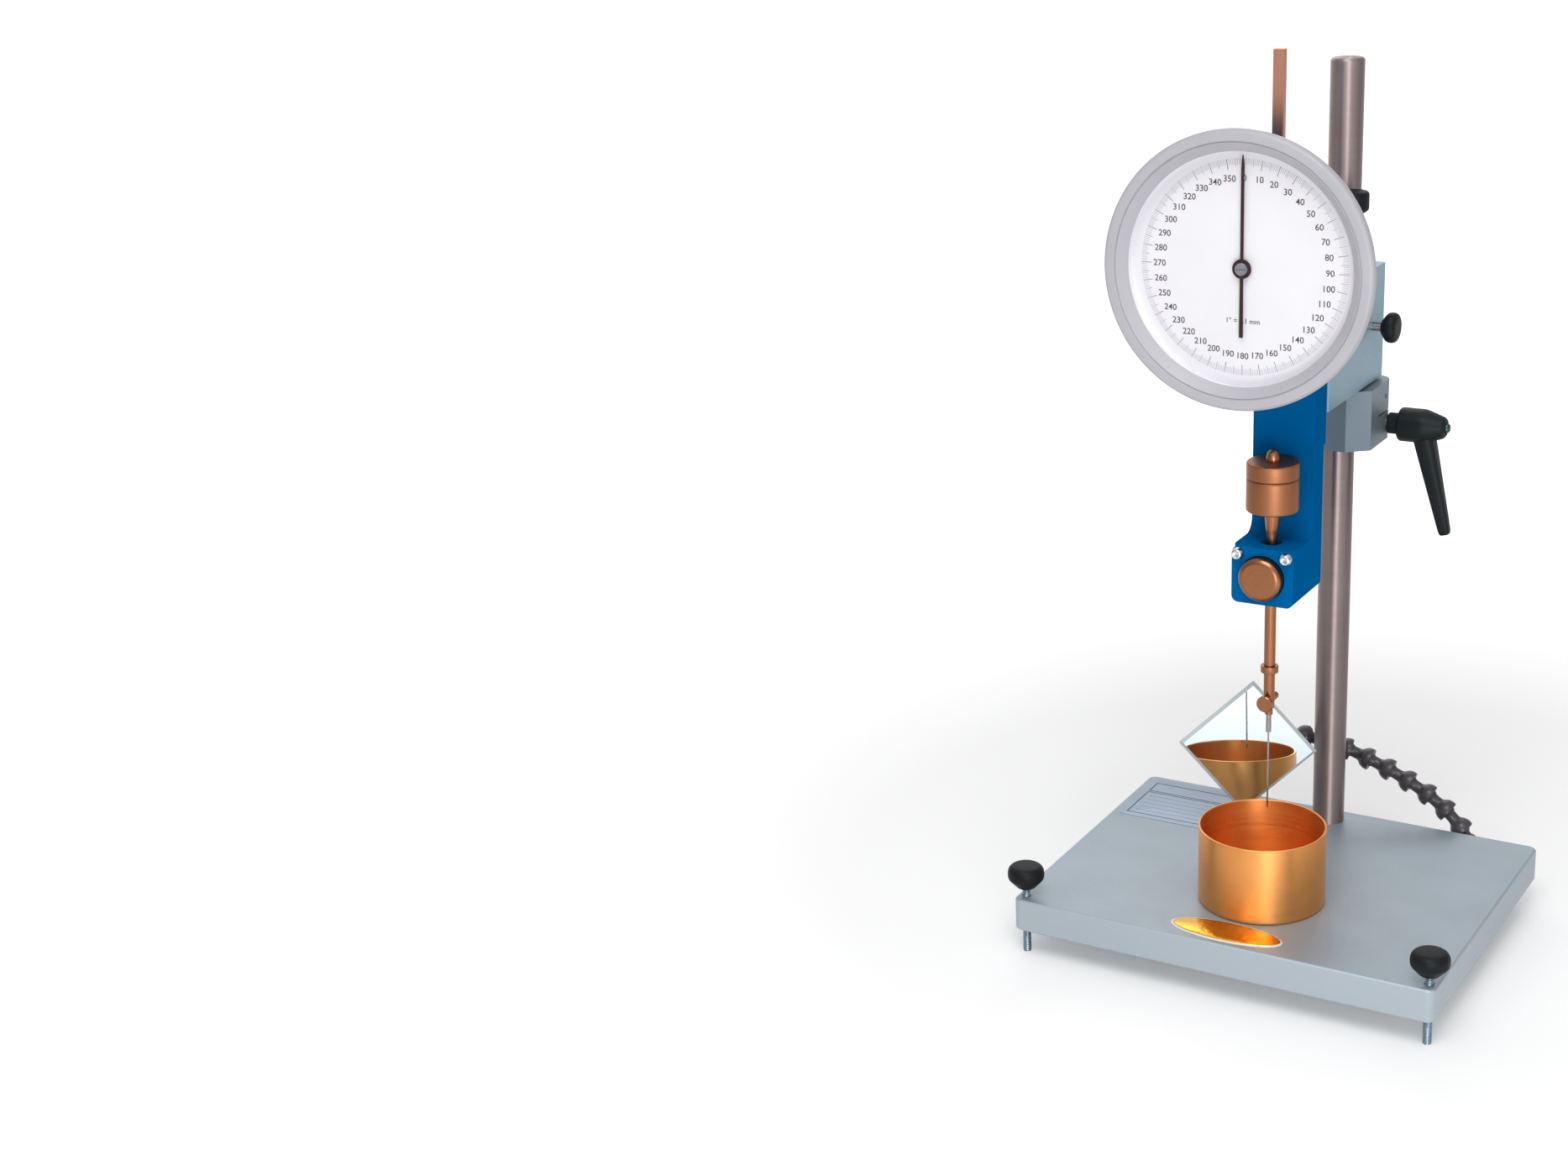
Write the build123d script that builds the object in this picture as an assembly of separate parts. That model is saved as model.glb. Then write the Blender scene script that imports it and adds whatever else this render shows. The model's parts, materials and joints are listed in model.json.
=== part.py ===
from build123d import *
import math
import os

os.makedirs("parts", exist_ok=True)

# Sizes in mm, +Z up, the operator at -Y. The layout starts from the middle of the plate's top face, and the
# pieces are saved with the origin on the bench, in the middle of the foot under the column.

# Fits, as radial play, and the spare room at the end of a screw hole
run_fit = 0.05
seat_fit = 0.02
hole_spare = 1.0

# Base plate and levelling screws
plate_width = 250.0
plate_depth = 200.0
plate_thick = 20.0
plate_corner = 5.0
plate_edge = 1.0
plate_clear = 16.0
levelling_inset_side = 5.0
levelling_inset_front = 8.0
levelling_rod_d = 5.0
levelling_knob_d = 21.4
levelling_knob_h = 14.0
levelling_knob_gap = 5.5

# Column, the screws' common size and the foot whose stud holds plate and column together
column_d = 19.0
column_h = 465.0
column_inset = 15.0
column_bevel = 1.5
spigot_d = 12.0
spigot_h = 12.0
bolt_d = 6.0
bolt_head_d = 10.0
bolt_head_h = 6.0
bolt_grip = 14.0
bolt_hex = 5.0
foot_d = 30.0

# Round level
level_d = 14.0
level_h = 7.0
level_proud = 1.0
level_wall = 1.5
level_ahead = 29.0

# Sample cup
cup_bore = 70.0
cup_wall = 1.2
cup_depth = 45.0
cup_x = 3.0
cup_y = -35.0

# Clamp collar
collar_rest = 243.0
collar_width = 48.0
collar_ahead = 22.0
collar_behind = 24.0
collar_h = 35.5
collar_cut_side = 12.0
collar_cut_front = 9.0
collar_round = 8.0
slit_up = 16.5
slit_w = 1.2
split_w = 2.0
peg_hole_d = 3.0

# Clamp lever
stud_d = 8.0
stud_head_t = 2.0
stud_behind = 16.0
stud_up = 9.5
lever_gap = 1.0
lever_neck_d = 12.5
lever_neck_w = 6.5
lever_hub_d = 20.0
lever_hub_w = 25.5
lever_grip_w = 14.0
lever_grip_t = 12.0
lever_tip_d = 6.8
lever_cap_d = 5.4
lever_cap_t = 2.0
lever_reach = 66.5
lever_lean = 14.0

# Carrier block, its lock screw and the fine screw
block_gap = 1.5
block_width = 38.0
block_h = 67.0
block_behind = 19.0
block_bevel = 0.6
line_up = 53.0
line_w = 0.8
lock_up = 33.2
lock_rod_d = 5.0
lock_knob_d = 17.6
lock_knob_l = 9.5
lock_knob_gap = 5.5
fine_x = 10.5
fine_ahead = 16.5
fine_rod_d = 6.0
fine_sink = 6.0
fine_knob_d = 18.6
fine_knob_h = 16.5
fine_knob_gap = 30.0

# Head frame
plunger_ahead = 105.0
frame_width = 36.0
frame_standoff = 16.0
frame_thick = 14.0
frame_pad = 3.0
frame_rise = 120.0
pad_drop = 18.0
head_drop = 101.0
head_h = 33.0
frame_fillet = 8.0
frame_round = 4.0
cover_thick = 5.0
cover_screw_d = 4.0
cover_screw_head_d = 7.0
cover_screw_head_h = 4.0
cover_screw_inset = 4.0
frame_bolt_low = 30.0
frame_bolt_pitch = 22.0

# Release
bush_d = 12.0
bush_h = 11.0
recess_wall = 1.5
recess_depth = 1.5
button_d = 25.0
button_gap = 0.3
button_out = 6.5
button_bevel = 1.2
button_up = 16.0
button_travel = 3.3
yoke_w = 12.0
yoke_h = 8.0
yoke_web = 5.5
yoke_tenon = 3.0
release_spring_d = 7.0
release_spring_wire = 0.9
release_spring_l = 15.0

# Falling set
plunger_d = 6.4
plunger_above = 6.8
shoulder_up = 51.7
shoulder_d = 9.0
shoulder_cone = 13.7
weight_d = 29.0
weight_large_h = 18.7
weight_small_h = 9.3
weight_bevel = 0.6
collar_ring_d = 10.0
collar_ring_h = 4.1
ring_drop = 40.4
chuck_d = 6.2
chuck_h = 21.5
chuck_nose_d = 4.5
chuck_nose_h = 4.3
chuck_spigot_d = 4.0
chuck_spigot_h = 10.0
chuck_boss_d = 4.4
chuck_boss_l = 6.5
chuck_screw_up = 4.0
chuck_screw_d = 2.4
chuck_disc_d = 9.5
chuck_disc_h = 3.0
chuck_disc_bevel = 0.4
chuck_disc_gap = 1.6
ferrule_d = 3.1
ferrule_show = 10.8
needle_d = 1.0
needle_show = 48.2
needle_cone = 3.2
needle_grip = 12.0

# Dial: case, glass and bezel grow from the graduated plate
dial_up = 91.0
dial_plate_d = 131.0
dial_plate_thick = 1.0
dial_plate_down = 4.5
dial_ring_wall = 1.2
glass_ledge = 2.0
glass_thick = 2.5
case_rim = 3.0
case_depth = 21.5
case_band = 3.5
case_taper = 8.5
case_wall = 7.0
case_back = 3.0
bezel_lip = 1.5
bezel_wall = 4.5
bezel_rise = 6.0
bezel_skirt = 3.0
bezel_taper = 2.4
pointer_gap = 2.0
pointer_thick = 0.6
pointer_tip = 60.0
pointer_tail = 37.0
pointer_point = 7.0
pointer_w = 1.7
pointer_tip_w = 0.4
pointer_tail_w = 2.1
pointer_hub_d = 10.5
nut_d = 6.7
nut_h = 1.6
nut_bevel = 0.4

# Rack and pinion
rack_pitch = 2.0
pinion_teeth = 18
pressure_angle = 20.0
tooth_play = 0.05
pinion_face = 7.0
rack_w = 6.0
rack_t = 4.0
rack_foot_up = 30.0
rack_l = 172.0
rack_travel = 44.0
arbor_d = 3.0
gear_play = 0.3
housing_wall = 6.0
housing_side = 8.0
housing_h = 48.0
housing_front = 10.0
front_bush_d = 8.0
bush_floor = 2.0

# Mirror and its segmented arm
link_pitch = 14.0
link_rim_d = 13.8
link_neck_d = 6.4
link_rim_h = 2.7
link_lip = 1.5
link_wall = 0.9
link_shoulder = 0.6
link_taper = 2.2
ball_d = 9.2
socket_play = 0.15
link_sides = 12
elbow_x = 81.0
elbow_d = 12.0
elbow_out = 8.0
elbow_stud_d = 6.0
elbow_stud_l = 12.0
elbow_reach = 10.0
elbow_heading = (180.0, 64.0)
link_headings = [
    (180.0, 46.0), (180.0, 36.0), (180.0, 28.0), (180.0, 24.0), (180.0, 20.0), (180.0, 18.0),
    (195.0, 17.6), (213.0, 17.6), (230.0, 17.3), (244.0, 16.1), (259.0, 13.8), (276.0, 10.3),
]
mirror_side = 58.0
mirror_thick = 3.0
mirror_facing = (297.2, 5.9)
mirror_roll = 40.3
mirror_aside = 4.4
holder_d = 24.0
holder_thick = 2.0
holder_reach = 14.0
holder_lip = 0.4

# Places that follow from the sizes
column_y = plate_depth / 2 - column_inset
plunger_y = column_y - plunger_ahead
table_z = -plate_thick - plate_clear
collar_z = collar_rest
block_z = collar_z + collar_h + block_gap
head_z = block_z - head_drop
dial_z = block_z + dial_up
frame_front = plunger_y + frame_standoff
block_front = frame_front + frame_thick + frame_pad
head_front = plunger_y - bush_d / 2 - recess_wall - recess_depth
cover_front = head_front - cover_thick
button_z = head_z + button_up
stud_y = column_y + stud_behind
stud_z = collar_z + stud_up


def span(x0, x1, y0, y1, z0, z1):
    """Box between six planes."""
    return Pos(x0, y0, z0) * Box(x1 - x0, y1 - y0, z1 - z0, align=Align.MIN)


def rod(start, axis, diameter, length):
    """Round bar from a point along an axis."""
    place = Plane(origin=start, z_dir=axis)
    return place * Cylinder(diameter / 2, length, align=(Align.CENTER, Align.CENTER, Align.MIN))


def turned(profile, start=(0, 0, 0), axis=(0, 0, 1)):
    """Solid of revolution from (radius, height) pairs, its axis leaving a point."""
    outline = Polyline(*[(r, 0, h) for r, h in profile], close=True)
    body = revolve(make_face(outline), Axis.Z)
    return Plane(origin=start, z_dir=axis) * body


def skin(rings):
    """Solid of flat faces through rings of corners, whose matching edges are parallel."""
    faces = [Face(Wire.make_polygon(rings[0])), Face(Wire.make_polygon(rings[-1]))]
    for low, high in zip(rings, rings[1:]):
        for i in range(len(low)):
            faces.append(Face(Wire.make_polygon([low[i - 1], low[i], high[i], high[i - 1]])))
    return Solid(Shell(faces))


def faceted(sections):
    """Straight-sided turning about Z through polygons of (corner radius, height)."""
    turns = [2 * math.pi * i / link_sides for i in range(link_sides)]
    return skin([[(r * math.cos(a), r * math.sin(a), h) for a in turns] for r, h in sections])


def bevelled(place, width, height, cut):
    """Corners of a rectangle with cut corners on a plane."""
    x = width / 2
    y = height / 2
    flat = [
        (x - cut, -y), (x, cut - y), (x, y - cut), (x - cut, y),
        (cut - x, y), (-x, y - cut), (-x, cut - y), (cut - x, -y),
    ]
    return [place.from_local_coords(Vector(*corner, 0)) for corner in flat]


def heading(yaw, lift):
    """Unit vector from a bearing about Z and an angle above the horizon, in degrees."""
    a = math.radians(yaw)
    e = math.radians(lift)
    return Vector(math.cos(a) * math.cos(e), math.sin(a) * math.cos(e), math.sin(e))


def save(shape, name):
    """Write one named piece, measured from the bench under the column."""
    piece = Pos(0, -column_y, -table_z) * shape
    piece.label = name
    export_step(piece, f"parts/{name}.step")


# Base plate: pockets for column, level, levelling rods and the arm's elbow
levelling_x = plate_width / 2 - levelling_inset_side
levelling_y = levelling_inset_front - plate_depth / 2
level_y = column_y - level_ahead
elbow_z = -plate_thick / 2
plate_back = plate_depth / 2

outline = RectangleRounded(plate_width, plate_depth, plate_corner)
base_plate = Pos(0, 0, -plate_thick) * extrude(outline, plate_thick)
rims = base_plate.faces().sort_by(Axis.Z)
base_plate = chamfer(rims[0].edges() + rims[-1].edges(), plate_edge)
base_plate -= rod((0, column_y, -spigot_h), (0, 0, 1), spigot_d + 2 * seat_fit, spigot_h)
base_plate -= rod((0, column_y, -plate_thick), (0, 0, 1), bolt_d + 2 * run_fit, plate_thick)
base_plate -= rod((0, level_y, level_proud - level_h), (0, 0, 1), level_d + 2 * seat_fit, level_h)
for side in (-1, 1):
    hole = (side * levelling_x, levelling_y, -plate_thick)
    base_plate -= rod(hole, (0, 0, 1), levelling_rod_d + 2 * run_fit, plate_thick)
stud_end = (elbow_x, plate_back - elbow_stud_l, elbow_z)
base_plate -= rod(stud_end, (0, 1, 0), elbow_stud_d + 2 * seat_fit, elbow_stud_l)
save(base_plate, "base_plate")

# Column and the rear foot
column = turned(
    [
        (0, -spigot_h), (spigot_d / 2, -spigot_h), (spigot_d / 2, 0), (column_d / 2, 0),
        (column_d / 2, column_h - column_bevel), (column_d / 2 - column_bevel, column_h), (0, column_h),
    ],
    (0, column_y, 0),
)
stud_hole = bolt_grip + hole_spare
column -= rod((0, column_y, -spigot_h), (0, 0, 1), bolt_d + 2 * seat_fit, stud_hole)
save(column, "column")

foot_r = foot_d / 2
stud_top = bolt_grip - spigot_h
rear_foot = turned(
    [
        (0, table_z), (foot_r - plate_edge, table_z), (foot_r, table_z + plate_edge), (foot_r, -plate_thick),
        (bolt_d / 2, -plate_thick), (bolt_d / 2, stud_top), (0, stud_top),
    ],
    (0, column_y, 0),
)
save(rear_foot, "rear_foot")

# Levelling screws
knob_z = levelling_knob_gap
knob_r = levelling_knob_d / 2
rod_top = knob_z + 0.6 * levelling_knob_h
for side, name in ((-1, "left"), (1, "right")):
    x = side * levelling_x
    screw = rod((x, levelling_y, table_z), (0, 0, 1), levelling_rod_d, rod_top - table_z)
    screw = chamfer(screw.edges().group_by(Axis.Z)[0], levelling_rod_d / 8)
    save(screw, f"levelling_rod_{name}")
    knob = turned(
        [
            (0, 0), (0.46 * knob_r, 0), (knob_r, 0.46 * levelling_knob_h), (knob_r, 0.64 * levelling_knob_h),
            (0.62 * knob_r, levelling_knob_h), (0, levelling_knob_h),
        ],
        (x, levelling_y, knob_z),
    )
    knob -= rod((x, levelling_y, knob_z), (0, 0, 1), levelling_rod_d + 2 * seat_fit, rod_top - knob_z)
    save(knob, f"levelling_knob_{name}")

# Round level
level_z = level_proud - level_h
level_r = level_d / 2
level_body = turned(
    [
        (0, 0), (level_r, 0), (level_r, level_h), (level_r - level_wall, level_h),
        (level_r - level_wall, level_h / 2), (0, level_h / 2),
    ],
    (0, level_y, level_z),
)
save(level_body, "level_body")
level_glass_r = level_r - level_wall - seat_fit
glass_foot = (0, level_y, level_z + level_h / 2)
save(rod(glass_foot, (0, 0, 1), 2 * level_glass_r, 0.46 * level_h), "level_glass")

# Sample cup
cup_r = cup_bore / 2 + cup_wall
cup_h = cup_depth + cup_wall
sample_cup = turned(
    [
        (0, 0), (cup_r - cup_wall, 0), (cup_r, cup_wall), (cup_r, cup_h),
        (cup_bore / 2, cup_h), (cup_bore / 2, cup_wall), (0, cup_wall),
    ],
    (cup_x, cup_y, 0),
)
save(sample_cup, "sample_cup")

# Clamp collar: sawn across at the slit and split behind, so that the stud closes the lower band
half = collar_width / 2
front = column_y - collar_ahead
back = column_y + collar_behind
collar_outline = Polyline(
    (half, back), (-half, back), (-half, front + collar_cut_front), (collar_cut_side - half, front),
    (half - collar_cut_side, front), (half, front + collar_cut_front), close=True,
)
clamp_collar = Pos(0, 0, collar_z) * extrude(make_face(collar_outline), collar_h)
upright = clamp_collar.edges().filter_by(Axis.Z).group_by(Axis.Y)[-1]
clamp_collar = fillet(upright, collar_round)
clamp_collar -= rod((0, column_y, collar_z), (0, 0, 1), column_d + 2 * run_fit, collar_h)
slit_z = collar_z + slit_up
clamp_collar -= span(-half, half, column_y, back, slit_z, slit_z + slit_w)
clamp_collar -= span(-split_w / 2, split_w / 2, column_y, back, collar_z, slit_z)
clamp_collar -= rod((-half, stud_y, stud_z), (1, 0, 0), stud_d + 2 * run_fit, collar_width)
collar_top = collar_z + collar_h
fine_y = column_y - fine_ahead
clamp_collar -= rod((fine_x, fine_y, collar_top - fine_sink), (0, 0, 1), fine_rod_d + 2 * run_fit, fine_sink)
peg_hole = (half, column_y + collar_behind / 2, collar_top - collar_h / 4)
clamp_collar -= rod(peg_hole, (-1, 0, 0), peg_hole_d, 2 * peg_hole_d)
save(clamp_collar, "clamp_collar")

# Clamp stud and lever
lever_x = half + lever_gap
hub_x = lever_x + lever_neck_w
hub_end = hub_x + lever_hub_w
stud_x = hub_x + 0.6 * lever_hub_w
clamp_stud = rod((-half, stud_y, stud_z), (1, 0, 0), stud_d, half + stud_x)
clamp_stud += rod((-half - lever_gap - stud_head_t, stud_y, stud_z), (1, 0, 0), lever_neck_d, stud_head_t)
clamp_stud += rod((-half - lever_gap, stud_y, stud_z), (1, 0, 0), stud_d, lever_gap)
save(clamp_stud, "clamp_stud")

grip_x = hub_x + lever_hub_w / 2
grip_axis = heading(0, lever_lean - 90)
grip_plane = Plane(origin=(grip_x, stud_y, stud_z), x_dir=(0, 1, 0), z_dir=grip_axis)
grip = skin([
    bevelled(grip_plane, lever_grip_w, lever_grip_t, lever_grip_t / 4),
    bevelled(grip_plane.offset(lever_reach - lever_tip_d / 4), lever_tip_d, lever_tip_d, lever_tip_d / 4),
    bevelled(grip_plane.offset(lever_reach), lever_tip_d / 2, lever_tip_d / 2, lever_tip_d / 8),
])
hub_r = lever_hub_d / 2
hub = turned(
    [
        (0, 0), (lever_neck_d / 2, 0), (lever_neck_d / 2, lever_neck_w), (0.85 * hub_r, lever_neck_w),
        (hub_r, lever_neck_w + 0.15 * hub_r), (hub_r, hub_end - lever_x - 0.3 * hub_r),
        (0.7 * hub_r, hub_end - lever_x), (0, hub_end - lever_x),
    ],
    (lever_x, stud_y, stud_z),
    (1, 0, 0),
)
clamp_lever = hub + grip
clamp_lever -= rod((lever_x, stud_y, stud_z), (1, 0, 0), stud_d + 2 * seat_fit, stud_x - lever_x)
clamp_lever += rod((hub_end, stud_y, stud_z), (1, 0, 0), lever_cap_d, lever_cap_t)
save(clamp_lever, "clamp_lever")

# Carrier block
block_top = block_z + block_h
block_back = column_y + block_behind
half_block = block_width / 2
carrier_block = span(-half_block, half_block, block_front, block_back, block_z, block_top)
carrier_block = chamfer(carrier_block.edges().filter_by(Axis.Z), block_bevel)
carrier_block -= rod((0, column_y, block_z), (0, 0, 1), column_d + 2 * run_fit, block_h)
carrier_block -= rod((fine_x, fine_y, block_z), (0, 0, 1), fine_rod_d + 2 * run_fit, block_h)
lock_z = block_z + lock_up
carrier_block -= rod((0, column_y, lock_z), (1, 0, 0), lock_rod_d + 2 * run_fit, half_block)
line_z = block_z + line_up
line_back = column_y - column_d / 2
carrier_block -= span(half_block - line_w / 2, half_block, block_front, line_back, line_z, line_z + line_w)
frame_bolt_zs = (block_z + frame_bolt_low, block_z + frame_bolt_low + frame_bolt_pitch)
for z in frame_bolt_zs:
    carrier_block -= rod((0, block_front, z), (0, 1, 0), bolt_d + 2 * seat_fit, bolt_grip + hole_spare)
save(carrier_block, "carrier_block")

# Lock screw
lock_tip = column_d / 2 + 2 * run_fit
lock_knob_x = half_block + lock_knob_gap
lock_end = lock_knob_x + 0.6 * lock_knob_l
save(rod((lock_tip, column_y, lock_z), (1, 0, 0), lock_rod_d, lock_end - lock_tip), "lock_screw")
lock_r = lock_knob_d / 2
lock_knob = turned(
    [
        (0, 0), (0.5 * lock_r, 0), (lock_r, 0.5 * lock_knob_l), (lock_r, 0.75 * lock_knob_l),
        (0.7 * lock_r, lock_knob_l), (0, lock_knob_l),
    ],
    (lock_knob_x, column_y, lock_z),
    (1, 0, 0),
)
lock_hole_d = lock_rod_d + 2 * seat_fit
lock_knob -= rod((lock_knob_x, column_y, lock_z), (1, 0, 0), lock_hole_d, lock_end - lock_knob_x)
save(lock_knob, "lock_knob")

# Fine screw
fine_foot = collar_top - fine_sink + run_fit
fine_knob_z = block_top + fine_knob_gap
fine_end = fine_knob_z + 0.6 * fine_knob_h
save(rod((fine_x, fine_y, fine_foot), (0, 0, 1), fine_rod_d, fine_end - fine_foot), "fine_screw")
fine_r = fine_knob_d / 2
fine_knob = turned(
    [
        (0, 0), (0.6 * fine_r, 0), (0.6 * fine_r, 0.2 * fine_knob_h), (fine_r, 0.36 * fine_knob_h),
        (fine_r, 0.9 * fine_knob_h), (0.85 * fine_r, fine_knob_h), (0, fine_knob_h),
    ],
    (fine_x, fine_y, fine_knob_z),
)
fine_hole_d = fine_rod_d + 2 * seat_fit
fine_knob -= rod((fine_x, fine_y, fine_knob_z), (0, 0, 1), fine_hole_d, fine_end - fine_knob_z)
save(fine_knob, "fine_knob")

# Head frame: an L seen from the side, bored for bush, button, yoke and spring
half_frame = frame_width / 2
frame_back = frame_front + frame_thick
frame_top = block_z + frame_rise
pad_z = block_z - pad_drop
head_top = head_z + head_h
profile = Polyline(
    (0, head_front, head_z), (0, frame_back, head_z), (0, frame_back, pad_z), (0, block_front, pad_z),
    (0, block_front, frame_top), (0, frame_front, frame_top), (0, frame_front, head_top),
    (0, head_front, head_top), close=True,
)
head_frame = extrude(make_face(profile), half_frame, dir=(1, 0, 0), both=True)
lengthwise = head_frame.edges().filter_by(Axis.X)
inner = lengthwise.filter_by_position(Axis.Y, frame_front - 0.1, frame_front + 0.1).sort_by(Axis.Z)[0]
head_frame = fillet(inner, frame_fillet)
keel = head_frame.edges().filter_by(Axis.Y).group_by(Axis.Z)[0]
head_frame = fillet(keel, frame_round)
bore_d = bush_d + 2 * seat_fit
head_frame -= rod((0, plunger_y, head_z), (0, 0, 1), bore_d, head_h)
recess_d = button_d + 2 * button_gap
head_frame -= rod((0, head_front, button_z), (0, 1, 0), recess_d, recess_depth)
recess_floor = head_front + recess_depth
yoke_back = plunger_y + plunger_d / 2 + run_fit + yoke_web
slot_back = yoke_back + button_travel + 2 * button_gap
slot_x = yoke_w / 2 + run_fit
slot_z = yoke_h / 2 + run_fit
head_frame -= span(-slot_x, slot_x, recess_floor, slot_back, button_z - slot_z, button_z + slot_z)
spring_room = yoke_back + release_spring_l - slot_back
head_frame -= rod((0, slot_back, button_z), (0, 1, 0), release_spring_d + 2 * button_gap, spring_room)
bolt_sink = bolt_head_h + hole_spare
for z in frame_bolt_zs:
    head_frame -= rod((0, frame_front, z), (0, 1, 0), bolt_d + 2 * run_fit, block_front - frame_front)
    head_frame -= rod((0, frame_front, z), (0, 1, 0), bolt_head_d + hole_spare, bolt_sink)
screw_x = half_frame - cover_screw_inset
screw_z = head_top - cover_screw_inset
screw_l = 2 * cover_screw_d
for side in (-1, 1):
    tap = (side * screw_x, head_front, screw_z)
    head_frame -= rod(tap, (0, 1, 0), cover_screw_d + 2 * seat_fit, screw_l + hole_spare)
save(head_frame, "head_frame")

frame_bolts = Part()
for z in frame_bolt_zs:
    seat = frame_front + bolt_sink
    bolt = rod((0, seat, z), (0, 1, 0), bolt_d, block_front + bolt_grip - seat)
    bolt += rod((0, seat - bolt_head_h, z), (0, 1, 0), bolt_head_d, bolt_head_h)
    hexagon = Plane(origin=(0, seat - bolt_head_h, z), z_dir=(0, 1, 0))
    bolt -= extrude(hexagon * RegularPolygon(bolt_hex / 2, 6, major_radius=False), bolt_head_h / 2)
    frame_bolts += bolt
save(frame_bolts, "frame_bolts")

# Front cover and its screws
head_cover = span(-half_frame, half_frame, cover_front, head_front, head_z, head_top)
head_cover = fillet(head_cover.edges().filter_by(Axis.Y), frame_round)
head_cover -= rod((0, cover_front, button_z), (0, 1, 0), recess_d, cover_thick)
for side in (-1, 1):
    hole = (side * screw_x, cover_front, screw_z)
    head_cover -= rod(hole, (0, 1, 0), cover_screw_d + 2 * run_fit, cover_thick)
save(head_cover, "head_cover")

cover_screws = Part()
for side in (-1, 1):
    start = (side * screw_x, cover_front - cover_screw_head_h, screw_z)
    head_r = cover_screw_head_d / 2
    length = cover_screw_head_h + cover_thick + screw_l
    screw = turned(
        [
            (0, 0), (0.75 * head_r, 0), (head_r, 0.35 * cover_screw_head_h), (head_r, cover_screw_head_h),
            (cover_screw_d / 2, cover_screw_head_h), (cover_screw_d / 2, length), (0, length),
        ],
        start,
        (0, 1, 0),
    )
    hexagon = Plane(origin=start, z_dir=(0, 1, 0)) * RegularPolygon(0.45 * head_r, 6, major_radius=False)
    cover_screws += screw - extrude(hexagon, cover_screw_head_h / 2)
save(cover_screws, "cover_screws")

# Plunger bush
plunger_bush = rod((0, plunger_y, head_z), (0, 0, 1), bush_d, bush_h)
plunger_bush -= rod((0, plunger_y, head_z), (0, 0, 1), plunger_d + 2 * run_fit, bush_h)
save(plunger_bush, "plunger_bush")

# Release: the yoke's rear web grips the plunger until the button is pressed
button_back = recess_floor - button_travel - button_gap
button_front = cover_front - button_out
button_r = button_d / 2
release_button = turned(
    [
        (0, 0), (button_r - button_bevel, 0), (button_r, button_bevel),
        (button_r, button_back - button_front), (0, button_back - button_front),
    ],
    (0, button_front, button_z),
    (0, 1, 0),
)
tenon_x = yoke_w / 2 + seat_fit
tenon_z = yoke_h / 2 + seat_fit
tenon_front = button_back - yoke_tenon
release_button -= span(-tenon_x, tenon_x, tenon_front, button_back, button_z - tenon_z, button_z + tenon_z)
save(release_button, "release_button")

eye_r = plunger_d / 2 + button_gap
eye_back = plunger_y + plunger_d / 2 + run_fit - eye_r
eye_front = plunger_y - button_travel
yoke_low = button_z - yoke_h / 2
release_yoke = span(-yoke_w / 2, yoke_w / 2, tenon_front, yoke_back, yoke_low, yoke_low + yoke_h)
release_yoke -= rod((0, eye_back, yoke_low), (0, 0, 1), 2 * eye_r, yoke_h)
release_yoke -= rod((0, eye_front, yoke_low), (0, 0, 1), 2 * eye_r, yoke_h)
release_yoke -= span(-eye_r, eye_r, eye_front, eye_back, yoke_low, yoke_low + yoke_h)
save(release_yoke, "release_yoke")

spring_bore = release_spring_d - 2 * release_spring_wire
release_spring = rod((0, yoke_back, button_z), (0, 1, 0), release_spring_d, release_spring_l)
release_spring -= rod((0, yoke_back, button_z), (0, 1, 0), spring_bore, release_spring_l)
save(release_spring, "release_spring")

# Falling set
shoulder_z = head_z + shoulder_up
ring_top = head_z - ring_drop
ring_z = ring_top - collar_ring_h
plunger_top = shoulder_z + weight_large_h + weight_small_h + plunger_above
plunger_r = plunger_d / 2
plunger = turned(
    [
        (0, ring_z - chuck_spigot_h), (chuck_spigot_d / 2, ring_z - chuck_spigot_h),
        (chuck_spigot_d / 2, ring_z), (collar_ring_d / 2, ring_z), (collar_ring_d / 2, ring_top),
        (plunger_r, ring_top), (plunger_r, shoulder_z - shoulder_cone), (shoulder_d / 2, shoulder_z),
        (plunger_r, shoulder_z), (plunger_r, plunger_top - 0.75 * plunger_above),
        (0.8 * plunger_r, plunger_top - 0.3 * plunger_above), (0.4 * plunger_r, plunger_top), (0, plunger_top),
    ],
    (0, plunger_y, 0),
)
save(plunger, "plunger")


def weight(bottom, height):
    """Slipped-on disc weight with a bevelled upper rim."""
    r = weight_d / 2
    bore = plunger_r + run_fit
    return turned(
        [
            (bore, 0), (r, 0), (r, height - weight_bevel), (r - weight_bevel, height), (bore, height),
        ],
        (0, plunger_y, bottom),
    )


save(weight(shoulder_z, weight_large_h), "weight_large")
save(weight(shoulder_z + weight_large_h, weight_small_h), "weight_small")

chuck_z = ring_z - chuck_h
nose_z = chuck_z - chuck_nose_h
chuck_screw_z = chuck_z + chuck_screw_up
ferrule_top = ring_z - chuck_spigot_h
needle_chuck = rod((0, plunger_y, chuck_z), (0, 0, 1), chuck_d, chuck_h)
needle_chuck += rod((0, plunger_y, nose_z), (0, 0, 1), chuck_nose_d, chuck_nose_h)
boss_y = chuck_d / 2 + chuck_boss_l
needle_chuck += rod((0, plunger_y, chuck_screw_z), (0, 1, 0), chuck_boss_d, boss_y)
needle_chuck -= rod((0, plunger_y, ferrule_top), (0, 0, 1), chuck_spigot_d + 2 * seat_fit, chuck_spigot_h)
needle_chuck -= rod((0, plunger_y, nose_z), (0, 0, 1), ferrule_d + 2 * seat_fit, ferrule_top - nose_z)
screw_hole_d = chuck_screw_d + 2 * run_fit
needle_chuck -= rod((0, plunger_y, chuck_screw_z), (0, -1, 0), screw_hole_d, chuck_d)
save(needle_chuck, "needle_chuck")

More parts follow.
